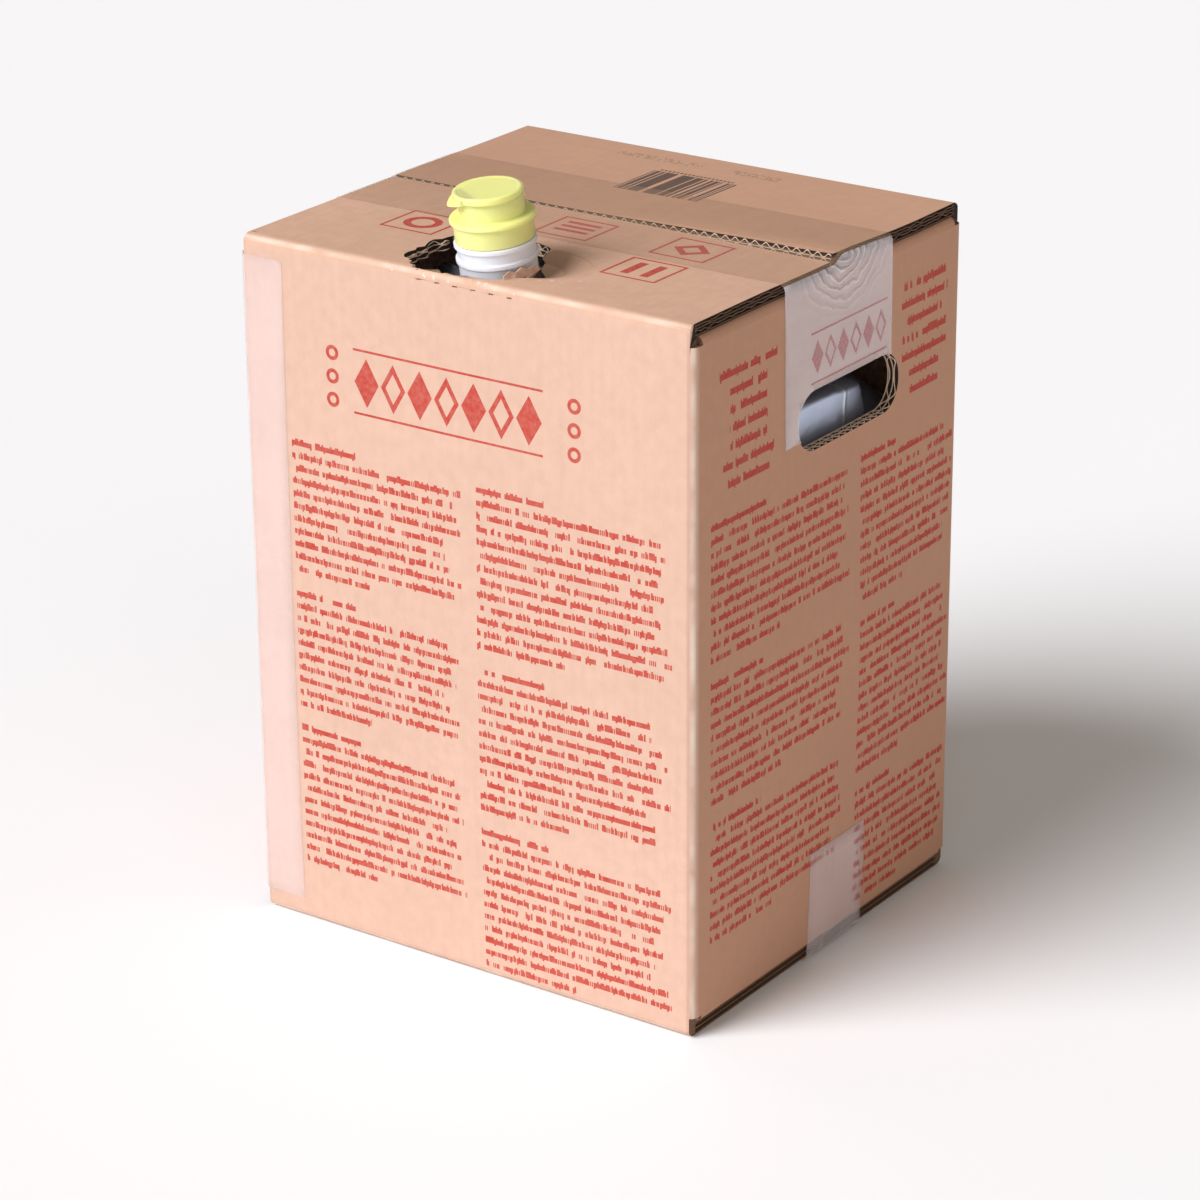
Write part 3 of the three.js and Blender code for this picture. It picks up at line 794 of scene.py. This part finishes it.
def board_material(board):
    """Printed kraft liner over the fluting."""
    material, tree, shader, place = material_base("kraft_liner", 0.82)
    surface = placed_group(tree, flute_group(board), place)
    artwork = placed_group(tree, print_group(), place)
    wires = {socket.name: Wire(tree, socket) for socket in surface.outputs}
    kraft = Vector(board.kraft)
    tone = mixed(tree, wires["Clouds"], kraft * 0.84, kraft * 1.12)
    x, y, z = millimetres(tree, place)
    on_top = z.above(FACES_UP)
    on_side = abs(x).above(FACES_SIDEWAYS) * (1 - on_top)
    on_front = abs(y).above(FACES_FRONT) * (1 - on_top)
    # Painted shade on the back flap and the side panels, and a painted sheen on the front
    tone = mixed(tree, on_top * y.above(SEAM_Y / MM) * 0.5, tone, tinted(kraft, BACK_FLAP_PAINTED_SHADE))
    tone = mixed(tree, on_side * 0.6, tone, tinted(kraft, SIDE_PAINTED_SHADE))
    tone = mixed(tree, on_front * 0.5, tone, tinted(kraft, FRONT_PAINTED_SHEEN))
    # Painted shade in the dent beside the spout, where the spout's shadow falls
    dent_shade = (1 - from_dent(x, y, 4)).larger(0) * on_top
    tone = mixed(tree, dent_shade * 0.6, tone, kraft * 0.5)
    mottle = cloud(tree, place, 130, 4.0)
    streak = (wires["Fibre"] * 0.45 + wires["Washboard"] * 0.08 + (mottle - 0.5) * 1.3).larger(0)
    tone = mixed(tree, streak * 0.38, tone, kraft * 0.58)
    tone = mixed(tree, Wire(tree, artwork.outputs["Ink"]), tone, board.ink)
    tone = mixed(tree, Wire(tree, artwork.outputs["Marks"]), tone, (0.045, 0.032, 0.03))
    # Pale wear at the corners and the dent's rim, and a painted highlight along the front fold
    tone = mixed(tree, wires["Wear and fold highlight"] * 0.8, tone, (0.80, 0.66, 0.55))
    tree.links.new(tone, shader.inputs["Base Color"])
    height = wires["Washboard"] * 0.22 + wires["Fibre"] * 0.12
    bumped(tree, shader, height, 0.35 * MM, 0.6)
    return material


def cut_material(name, colour, fleck):
    """Raw paper at the board's cut edges, or of its fluting, or, in near-black, the painted shade
    between the flutes.
    """
    material, tree, shader, place = material_base(name, 0.95)
    grain = cloud(tree, place, fleck, 3.0)
    tone = mixed(tree, grain, Vector(colour) * 0.6, Vector(colour) * 1.45)
    tree.links.new(tone, shader.inputs["Base Color"])
    bumped(tree, shader, grain, 0.3 * MM, 0.8)
    return material


def tape_material(plastic):
    """Glossy tape: clear on the top, rippled where it is pulled down the sides, where a pale cover is a
    painted sheen.
    """
    material, tree, shader, place = material_base("packing_tape", 0.2)
    clouds = cloud(tree, place, 22, 4.0)
    streaks = cloud(tree, place, 160, 3.0, (1, 0.12, 1))
    x, y, z = millimetres(tree, place)
    on_side = abs(x).above(HALF_X / MM - 0.5)
    high = on_side * z.above(TOP_Z / MM - 92)
    on_front = y.below(-HALF_Y / MM + 0.5)
    from_y, from_z = y - RIPPLE_Y, z - RIPPLE_Z
    sweep = (from_y * from_y * 0.5 + from_z * from_z).through("SQRT")
    near = (1 - sweep / 36).larger(0).smaller(0.6) * high
    ripple = (sweep * 1.5 + clouds * 40).through("SINE")
    crest = (ripple - 0.6).larger(0) * near * 3
    # On the top the cover is the tape's own tint; on the sides and front, with the pale colour, it is a
    # painted sheen, strongest high up and on the ripples' crests
    cover_and_sheen = 0.07 + 0.08 * clouds + 0.07 * streaks + 0.08 * on_side + 0.13 * high + 0.03 * on_front
    cover_and_sheen = (cover_and_sheen + crest * 0.35).smaller(0.9)
    tree.links.new(cover_and_sheen.socket, shader.inputs["Alpha"])
    pale = mixed(tree, clouds, Vector(plastic.tape) * 0.9, Vector(plastic.tape) * 1.08)
    tone = mixed(tree, on_side.larger(on_front), (0.62, 0.41, 0.27), pale)
    artwork = placed_group(tree, bpy.data.node_groups["Carton print"], place)
    tone = mixed(tree, Wire(tree, artwork.outputs["Ink"]) * 0.7, tone, (0.62, 0.22, 0.22))
    tree.links.new(tone, shader.inputs["Base Color"])
    gloss = 0.10 + 0.22 * clouds
    tree.links.new(gloss.socket, shader.inputs["Roughness"])
    height = ripple * near * 2 + streaks * 0.6 + clouds * 2
    bumped(tree, shader, height, 0.6 * MM, 0.7)
    return material


def film_material(plastic):
    """Softly creased metallised film."""
    material, tree, shader, place = material_base("bag_film", 0.4, 0.72)
    crease = tree.nodes.new("ShaderNodeTexVoronoi")
    crease.feature = "DISTANCE_TO_EDGE"
    crease.inputs["Scale"].default_value = 42
    tree.links.new(place, crease.inputs["Vector"])
    soft = cloud(tree, place, 30, 4.0)
    tone = mixed(tree, soft, Vector(plastic.film) * 0.85, Vector(plastic.film) * 1.2)
    x, y, z = millimetres(tree, place)
    weld = (1 - abs(y - WELD_SHINE_Y - soft * 6) / 2.4).larger(0)
    # Painted shade on the film under the flaps, broken by painted glints
    painted_glints = cloud(tree, place, 70, 2.0).above(0.58)
    painted_shade_under_top = z.above(FILM_SHADE_Z) * (1 - painted_glints * 0.8)
    tone = mixed(tree, painted_shade_under_top * 0.72, tone, (0.08, 0.06, 0.055))
    # Painted highlight along the ridge of the film's weld
    tone = mixed(tree, weld * 0.7, tone, (0.95, 0.97, 1.0))
    tree.links.new(tone, shader.inputs["Base Color"])
    tree.links.new((0.28 + 0.3 * soft).socket, shader.inputs["Roughness"])
    folds = Wire(tree, crease.outputs["Distance"]).smaller(0.2) * 1.2 + soft * 1.5 + weld * 1.5
    bumped(tree, shader, folds, 1.2 * MM, 0.6)
    return material


def moulded_material(name, colour, roughness, glow):
    """Moulded polythene: even colour, faint orange peel and light scattered under the skin."""
    material, tree, shader, place = material_base(name, roughness)
    peel = cloud(tree, place, 260, 3.0)
    patch = cloud(tree, place, 50, 3.0)
    tone = mixed(tree, patch, Vector(colour) * 0.95, Vector(colour) * 1.04)
    tree.links.new(tone, shader.inputs["Base Color"])
    tree.links.new((roughness - 0.06 + 0.14 * patch).socket, shader.inputs["Roughness"])
    shader.inputs["Subsurface Weight"].default_value = glow
    shader.inputs["Subsurface Radius"].default_value = (0.010, 0.009, 0.005)
    shader.inputs["Subsurface Scale"].default_value = 1.0
    bumped(tree, shader, peel, 0.05 * MM, 0.4)
    return material


# Pieces

def torn_point(angle):
    """A point on the torn opening's edge, as the part draws it."""
    squareness = 0.05 * (1 - math.cos(4 * angle))
    wave = math.sin(9 * angle) + 0.7 * math.sin(17 * angle + 1) + 0.5 * math.sin(26 * angle + 2)
    stretch = 1 + squareness + TEAR_DEPTH * wave / OPENING_HALF_X
    return OPENING + Vector((
        OPENING_HALF_X * stretch * math.cos(angle), OPENING_HALF_Y * stretch * math.sin(angle), 0,
    ))


def ribbon(made, rows):
    """Faces between neighbouring rows of points."""
    rings = [[made.verts.new(point) for point in row] for row in rows]
    for first, second in zip(rings, rings[1:]):
        for a, b, c, d in zip(first, first[1:], second[1:], second):
            made.faces.new((a, b, c, d))
    return made


def board_edge(made, path, down, board, depth=1.2 * MM, stand=0.6 * MM, wave=1.0):
    """Liners and two rows of fluting along a cut edge.

    path is a list of (point on the outer face, direction out of the cut, run along the flutes' rows),
    and down points through the board's thickness.
    """
    liner = 0.35 * MM
    split = 0.44 * BOARD
    levels = ((split, split + liner), (BOARD - liner, BOARD))
    for low, high in levels:
        rows = [
            [point + down * level + out * reach for point, out, run in path]
            for level, reach in ((low, -depth), (low, stand), (high, stand), (high, -depth))
        ]
        ribbon(made, rows)
    layers = (
        (liner, split, board.outer_pitch), (split + liner, BOARD - liner, board.inner_pitch),
    )
    for low, high, pitch in layers:
        middle = (low + high) / 2
        swing = (high - low) / 2 - 0.1 * MM
        paper = 0.25 * MM
        fronts = [[], []]
        backs = [[], []]
        for point, out, run in path:
            sway = 0.8 * noise.noise(Vector((run * 60, pitch * 900, 0)))
            ragged = noise.noise(Vector((run * 180, pitch * 900, 7)))
            wavy = math.sin(2 * math.pi * run / pitch + sway)
            level = middle + swing * (wave * wavy + (1 - wave) * ragged)
            for side, offset in enumerate((-paper, paper)):
                fronts[side].append(point + down * (level + offset) + out * stand * 0.8)
                backs[side].append(point + down * (level + offset) - out * depth)
        ribbon(made, [backs[0], fronts[0], fronts[1], backs[1]])


def resampled(points, step):
    """Points every step along a polyline."""
    result = []
    for start, end in zip(points, points[1:]):
        count = max(1, math.ceil((end - start).length / step))
        result.extend(start.lerp(end, index / count) for index in range(count))
    result.append(points[-1])
    return result


def hand_hole_path(side):
    """The hand hole's outline on one side panel, with the way out of the cut and the run."""
    radius = HOLE_HEIGHT / 2 - 0.5 * MM
    straight_y = HOLE_LENGTH / 2 - radius
    straight_z = HOLE_HEIGHT / 2 - radius
    points = []
    for corner, (sign_y, sign_z) in enumerate(((1, 1), (-1, 1), (-1, -1), (1, -1))):
        for step in range(13):
            angle = math.pi / 2 * (corner + step / 12)
            points.append(Vector((
                side * HALF_X,
                HOLE_Y + sign_y * straight_y + radius * math.cos(angle),
                HOLE_Z + sign_z * straight_z + radius * math.sin(angle),
            )))
    points.append(points[0].copy())
    centre = Vector((side * HALF_X, HOLE_Y, HOLE_Z))
    path = []
    for point in resampled(points, 0.9 * MM):
        offset = point - centre
        near = Vector((0, max(-straight_y, min(straight_y, offset.y)), 0))
        inward = near - offset
        inward.x = 0
        path.append((point, inward.normalized(), point.y))
    return path


def torn_path(first, last):
    """A stretch of the torn opening's edge between two angles in degrees."""
    count = 120
    path = []
    for index in range(count + 1):
        angle = math.radians(first + (last - first) * index / count)
        point = torn_point(angle)
        point.z = TOP_Z
        inward = OPENING - point
        inward.z = 0
        path.append((point, inward.normalized(), point.x))
    return path


def seam_path(side):
    """The free edge of the front (-1) or back (1) top flap."""
    edge = SEAM_Y + side * 1.2 * MM
    ends = [Vector((-HALF_X + 4 * MM, edge, TOP_Z)), Vector((HALF_X - 4 * MM, edge, TOP_Z))]
    out = Vector((0, -side, 0))
    return [(point, out, point.x) for point in resampled(ends, 0.9 * MM)]


def flap_end_path(side, half):
    """The cut end of the front (-1) or back (1) top flap, over the right (1) or left (-1) panel."""
    near = SEAM_Y + half * 1.6 * MM
    far = half * (HALF_Y - 5 * MM)
    end_x = side * (HALF_X - 3 * MM)
    ends = [Vector((end_x, near, TOP_Z)), Vector((end_x, far, TOP_Z))]
    out = Vector((side, 0, 0))
    return [(point, out, point.y) for point in resampled(ends, 1.5 * MM)]


def bend_verts(made, board):
    """Moves every vertex as the real carton's board is bent."""
    for vert in made.verts:
        vert.co = bent(vert.co, board)


def near_face(distance, lean):
    """True where a face is on an outer plane, or on the fold beside it."""
    return abs(lean) > 0.3 and distance < 0.4 * MM + CREASE_RADIUS * (1 - abs(lean))


def in_dent(point):
    """0 in the middle of the pushed-in dent and 1 at its rim."""
    return ((point.x - DENT.x) / DENT_HALF_X) ** 2 + ((point.y - DENT.y) / DENT_HALF_Y) ** 2


def board_part(face):
    """What a face of the carton shows, judged before the board is bent."""
    middle = face.calc_center_median()
    normal = face.normal
    if middle.z > TOP_Z + 0.05 * MM:
        return INSIDE
    if normal.z > 0.3 and in_dent(middle) < 1 and TOP_Z - middle.z < DENT_DEPTH + 0.5 * MM:
        return LINER
    if near_face(HALF_X - abs(middle.x), normal.x) or near_face(HALF_Y - abs(middle.y), normal.y):
        return LINER
    if normal.z > 0 and near_face(TOP_Z - middle.z, normal.z):
        return LINER
    if normal.z < 0 and near_face(middle.z - FOOT_Z, normal.z):
        return LINER
    if HALF_Y + middle.y < NICK_DEPTH and TOP_Z - middle.z < NICK_REACH:
        closed_up = noise.noise(Vector((middle.x * 45, 0.5, 0))) > 0
        return LINER if closed_up else INSIDE
    deep = HALF_X - abs(middle.x) > BOARD - 0.3 * MM and HALF_Y - abs(middle.y) > BOARD - 0.3 * MM
    in_flap = TOP_Z - BOARD + 0.2 * MM < middle.z < TOP_Z - 0.2 * MM and abs(normal.z) < 0.9
    if deep and max(abs(value) for value in normal) > 0.97 and not in_flap:
        return INSIDE
    by_hole_y = abs(middle.y - HOLE_Y) < HOLE_LENGTH / 2 + 1 * MM
    by_hole_z = abs(middle.z - HOLE_Z) < HOLE_HEIGHT / 2 + 1 * MM
    flap_end = HALF_X - abs(middle.x) < 6 * MM and middle.z > TOP_Z - BOARD
    if in_flap or flap_end or (by_hole_y and by_hole_z):
        return PAINTED_FLUTE_SHADE
    return CUT_EDGE


class CARTON_OT_board(bpy.types.Operator):
    """Folded board: the part's own blank, bent as a filled carton's, with fluting in its cuts."""

    bl_idname = "carton.board"
    bl_label = "Folded board"

    def execute(self, context):
        board = context.scene.carton_board
        liner = board_material(board)
        raw = cut_material("cut_board", board.cut, 700)
        gap = cut_material("painted_flute_shade", board.gap, 700)
        inside = cut_material("inner_liner", Vector(board.kraft) * 0.72, 300)
        medium = cut_material("fluted_paper", board.medium, 500)
        copy = gridded(node_copy("carton"), board.grid)
        for vert in copy.verts:
            across = in_dent(vert.co)
            floor = DENT_DEPTH * (1 - across) ** 2 + 0.09 * MM
            if across < 1.01 and 0.02 * MM < TOP_Z - vert.co.z < floor:
                vert.co.z += 0.05 * MM
        copy.normal_update()
        for face in copy.faces:
            face.material_index = board_part(face)
        bend_verts(copy, board)
        piece = mesh_object("folded_board", copy, liner)
        piece.data.materials.append(raw)
        piece.data.materials.append(inside)
        piece.data.materials.append(gap)
        shade(piece, 28)
        even = piece.modifiers.new("Even shading", "WEIGHTED_NORMAL")
        even.keep_sharp = True
        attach(piece, "pack")
        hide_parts("carton")
        edges = bmesh.new()
        ends = bmesh.new()
        for side in (-1, 1):
            board_edge(edges, hand_hole_path(side), Vector((-side, 0, 0)), board)
            board_edge(edges, seam_path(side), Vector((0, 0, -1)), board, stand=0.2 * MM)
            for half in (-1, 1):
                path = flap_end_path(side, half)
                board_edge(ends, path, Vector((0, 0, -1)), board, stand=0.1 * MM, wave=0.1)
        board_edge(edges, torn_path(40, 262), Vector((0, 0, -1)), board)
        cuts = (("edge_fluting", edges, medium), ("flap_end_fluting", ends, raw))
        for name, made, paper in cuts:
            bend_verts(made, board)
            fluting = mesh_object(name, made, paper)
            shade(fluting, 40)
            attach(fluting, "pack")
        return {"FINISHED"}


class CARTON_OT_tapes(bpy.types.Operator):
    """Tapes: each strip follows the bent board under it."""

    bl_idname = "carton.tapes"
    bl_label = "Tapes"

    def execute(self, context):
        board = context.scene.carton_board
        clear = tape_material(context.scene.carton_plastic)
        for node in ("top_tape", "bottom_tape", "joint_tape"):
            copy = gridded(node_copy(node), 0.008)
            bend_verts(copy, board)
            piece = mesh_object(f"{node}_strip", copy, clear)
            shade(piece, 40)
            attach(piece, "pack")
            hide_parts(node)
        return {"FINISHED"}


class CARTON_OT_bag(bpy.types.Operator):
    """Bag: creased film over the liquid, pleated up to the spout."""

    bl_idname = "carton.bag"
    bl_label = "Bag"

    def execute(self, context):
        material = film_material(context.scene.carton_plastic)
        piece = mesh_object("film_bag", node_copy("bag"), material)
        remesh = piece.modifiers.new("Even", "REMESH")
        remesh.mode = "VOXEL"
        remesh.voxel_size = FILM_MESH
        graph = context.evaluated_depsgraph_get()
        even = bpy.data.meshes.new_from_object(piece.evaluated_get(graph))
        piece.modifiers.clear()
        piece.data = even
        neck = SPOUT_SEAT @ Vector((0, 0, -18 * MM))
        normals = [vert.normal.copy() for vert in even.vertices]
        places = [pressed_out(vert.co.copy()) for vert in even.vertices]
        for vert, normal, place in zip(even.vertices, normals, places):
            reach = math.hypot(place.x - neck.x, place.y - neck.y)
            vert.co = place - normal * crumpled(place, neck) * smooth_step(reach, 0.015, 0.03)
        even.materials.clear()
        even.materials.append(material)
        joined = bmesh.new()
        joined.from_mesh(even)
        added(joined, pleats_at_neck())
        joined.to_mesh(even)
        joined.free()
        shade(piece, 60)
        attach(piece, "pack")
        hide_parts("bag")
        return {"FINISHED"}


class CARTON_OT_spout(bpy.types.Operator):
    """Spout: white moulded neck with rings."""

    bl_idname = "carton.spout"
    bl_label = "Spout"

    def execute(self, context):
        plastic = context.scene.carton_plastic
        made = turned([
            (17.3, -18), (24, -18), (24, -17.6), (21.9, -17.4), (20.7, -16.6), (20.4, -15),
            (20.4, 4.0), (21.2, 4.3), (21.6, 4.7), (21.6, 6.7), (21.2, 7.2), (20.4, 7.3),
            (20.4, 12.5), (21.4, 12.6), (21.8, 13.1), (21.8, 14.8), (21.4, 15.3), (18.9, 15.3),
            (18.9, 24.9), (18.4, 25.9), (17.3, 25.9), (17.3, -18),
        ], plastic.turns)
        made.transform(SPOUT_SEAT)
        white = moulded_material("white_polythene", plastic.white, 0.36, 0.4)
        piece = mesh_object("spout_moulding", made, white)
        soften(piece, 0.2 * MM)
        shade(piece)
        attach(piece, "pack")
        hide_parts("spout")
        return {"FINISHED"}


class CARTON_OT_closure(bpy.types.Operator):
    """Closure: yellow skirt, collar and drum with a pouring nozzle."""

    bl_idname = "carton.closure"
    bl_label = "Closure"

    def execute(self, context):
        plastic = context.scene.carton_plastic
        made = turned([
            (19.3, 15.6), (20.8, 15.6), (21.0, 25.9), (22.3, 26.0), (22.7, 26.5), (22.7, 27.6),
            (22.3, 28.3), (21.6, 28.7), (18.2, 28.7), (17.5, 29.0), (17.3, 29.7), (17.3, 38.8),
            (15.6, 38.8), (15.6, 33.8), (7.2, 33.8), (6.8, 34.3), (6.6, 37.8), (5.6, 37.8),
            (5.6, 32.1), (15.2, 32.1), (15.2, 21.3), (16.5, 21.3), (16.9, 26.3), (19.3, 26.3),
            (19.3, 15.6),
        ], plastic.turns)
        added(made, strap(16.4, 17.8, 34.8, 38.75))
        made.transform(CLOSURE_SEAT)
        yellow = moulded_material("yellow_polythene", plastic.yellow, 0.33, 0.4)
        piece = mesh_object("closure_moulding", made, yellow)
        soften(piece, 0.25 * MM)
        shade(piece)
        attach(piece, "pack")
        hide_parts("closure")
        return {"FINISHED"}


class CARTON_OT_lid(bpy.types.Operator):
    """Flip lid: disc with a raised rim, thumb tab, plug and hinge strap."""

    bl_idname = "carton.lid"
    bl_label = "Flip lid"

    def execute(self, context):
        plastic = context.scene.carton_plastic
        made = turned([
            (0, 39.1), (18.4, 39.1), (18.4, 41.5), (18.1, 42.1), (17.6, 42.5), (17.0, 42.6),
            (16.2, 42.6), (15.7, 42.3), (0, 42.2),
        ], plastic.turns)
        made.transform(Matrix.Translation((1.2 * MM, 0, 0)))
        added(made, turned([(0, 36.6), (4.1, 36.6), (4.6, 37.8), (4.6, 39.3), (0, 39.3)], 32))
        tab = bmesh.new()
        outline = [(12.4, -9), (17.2, -7.6), (20.4, -5.2), (22.6, -2.8), (23.6, -1.2), (23.9, 0)]
        outline += [(x, -y) for x, y in reversed(outline[:-1])]
        base = [tab.verts.new((x * MM, y * MM, 38.0 * MM)) for x, y in outline]
        face = tab.faces.new(base)
        risen = bmesh.ops.extrude_face_region(tab, geom=[face])
        top = [item for item in risen["geom"] if isinstance(item, bmesh.types.BMVert)]
        for vert in top:
            share = smooth_step(vert.co.x, 17.5 * MM, 23.9 * MM)
            vert.co.z = (42.0 - 2.9 * share) * MM
        for vert in base:
            vert.co.z = (39.1 - 1.2 * smooth_step(vert.co.x, 17.8 * MM, 19 * MM)) * MM
        bmesh.ops.recalc_face_normals(tab, faces=tab.faces)
        added(made, tab)
        added(made, strap(14.2, 17.8, 39.1, 41.6))
        made.transform(CLOSURE_SEAT)
        piece = mesh_object("flip_lid_moulding", made, bpy.data.materials["yellow_polythene"])
        soften(piece, 0.3 * MM)
        shade(piece)
        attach(piece, "lid")
        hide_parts("flip_lid")
        return {"FINISHED"}


def soft_sun(name, strength, softness, colour, way):
    """A sun that shines the given way from a wide part of the sky."""
    sun = bpy.data.lights.new(name, "SUN")
    sun.energy = strength
    sun.angle = softness
    sun.color = colour
    lamp = bpy.data.objects.new(name, sun)
    lamp.rotation_mode = "QUATERNION"
    lamp.rotation_quaternion = way.to_track_quat("-Z", "Y")
    bpy.context.scene.collection.objects.link(lamp)


class CARTON_OT_stage(bpy.types.Operator):
    """Stage: camera, soft light and a pale floor."""

    bl_idname = "carton.stage"
    bl_label = "Stage"

    def execute(self, context):
        stage = context.scene.carton_stage
        azimuth, elevation, roll = stage.azimuth, stage.elevation, stage.roll
        back = Vector((
            math.sin(azimuth) * math.cos(elevation),
            -math.cos(azimuth) * math.cos(elevation),
            math.sin(elevation),
        ))
        level = Vector((math.cos(azimuth), math.sin(azimuth), 0))
        upright = back.cross(level)
        right = level * math.cos(roll) + upright * math.sin(roll)
        up = back.cross(right)
        target = Vector((0, 0, 0.1891)) - 3.8 * MM * right - 13.3 * MM * up
        camera_data = bpy.data.cameras.new("camera")
        camera_data.lens = stage.lens
        camera_data.sensor_width = 36
        camera_data.clip_end = 50
        camera = bpy.data.objects.new("camera", camera_data)
        context.scene.collection.objects.link(camera)
        turn = Matrix((right, up, back)).transposed().to_4x4()
        camera.matrix_world = Matrix.Translation(target + back * stage.distance) @ turn
        context.scene.camera = camera

        floor_maker = bmesh.new()
        bmesh.ops.create_grid(floor_maker, x_segments=2, y_segments=2, size=12)
        material, tree, shader, place = material_base("pale_floor", 0.9)
        shader.inputs["Base Color"].default_value = (*stage.floor, 1)
        floor = mesh_object("floor", floor_maker, material)

        from_camera = -(back + 0.25 * right)
        soft_sun("key", stage.key_strength, stage.key_softness, (1, 1, 1.04), KEY_WAY)
        soft_sun("fill", stage.fill_strength, math.radians(60), (1, 0.97, 0.93), from_camera)
        world = bpy.data.worlds.new("studio")
        world.use_nodes = True
        sky = world.node_tree.nodes["Background"]
        sky.inputs["Color"].default_value = (1, 0.93, 0.85, 1)
        sky.inputs["Strength"].default_value = stage.sky
        context.scene.world = world
        context.scene.view_settings.view_transform = "Standard"
        return {"FINISHED"}


class CARTON_PT_panel(bpy.types.Panel):
    """Lists the carton's looks and the steps that make it."""

    bl_label = "Carton"
    bl_idname = "CARTON_PT_panel"
    bl_space_type = "VIEW_3D"
    bl_region_type = "UI"
    bl_category = "Carton"

    def draw(self, context):
        for group in looks():
            for name in group.bl_rna.properties.keys():
                if name not in {"rna_type", "name"}:
                    self.layout.prop(group, name)
        for step in STEPS:
            self.layout.operator(step.bl_idname)


STEPS = (
    CARTON_OT_stage, CARTON_OT_board, CARTON_OT_tapes, CARTON_OT_bag, CARTON_OT_spout,
    CARTON_OT_closure, CARTON_OT_lid,
)
CLASSES = (BoardLook, PlasticLook, StageLook, *STEPS, CARTON_PT_panel)


def register():
    for item in CLASSES:
        bpy.utils.register_class(item)
    bpy.types.Scene.carton_board = PointerProperty(type=BoardLook)
    bpy.types.Scene.carton_plastic = PointerProperty(type=PlasticLook)
    bpy.types.Scene.carton_stage = PointerProperty(type=StageLook)


def unregister():
    del bpy.types.Scene.carton_stage
    del bpy.types.Scene.carton_plastic
    del bpy.types.Scene.carton_board
    for item in reversed(CLASSES):
        bpy.utils.unregister_class(item)


def main():
    register()
    bpy.ops.carton.stage()
    bpy.ops.carton.board()
    bpy.ops.carton.tapes()
    bpy.ops.carton.bag()
    bpy.ops.carton.spout()
    bpy.ops.carton.closure()
    bpy.ops.carton.lid()


if __name__ == "__main__":
    main()
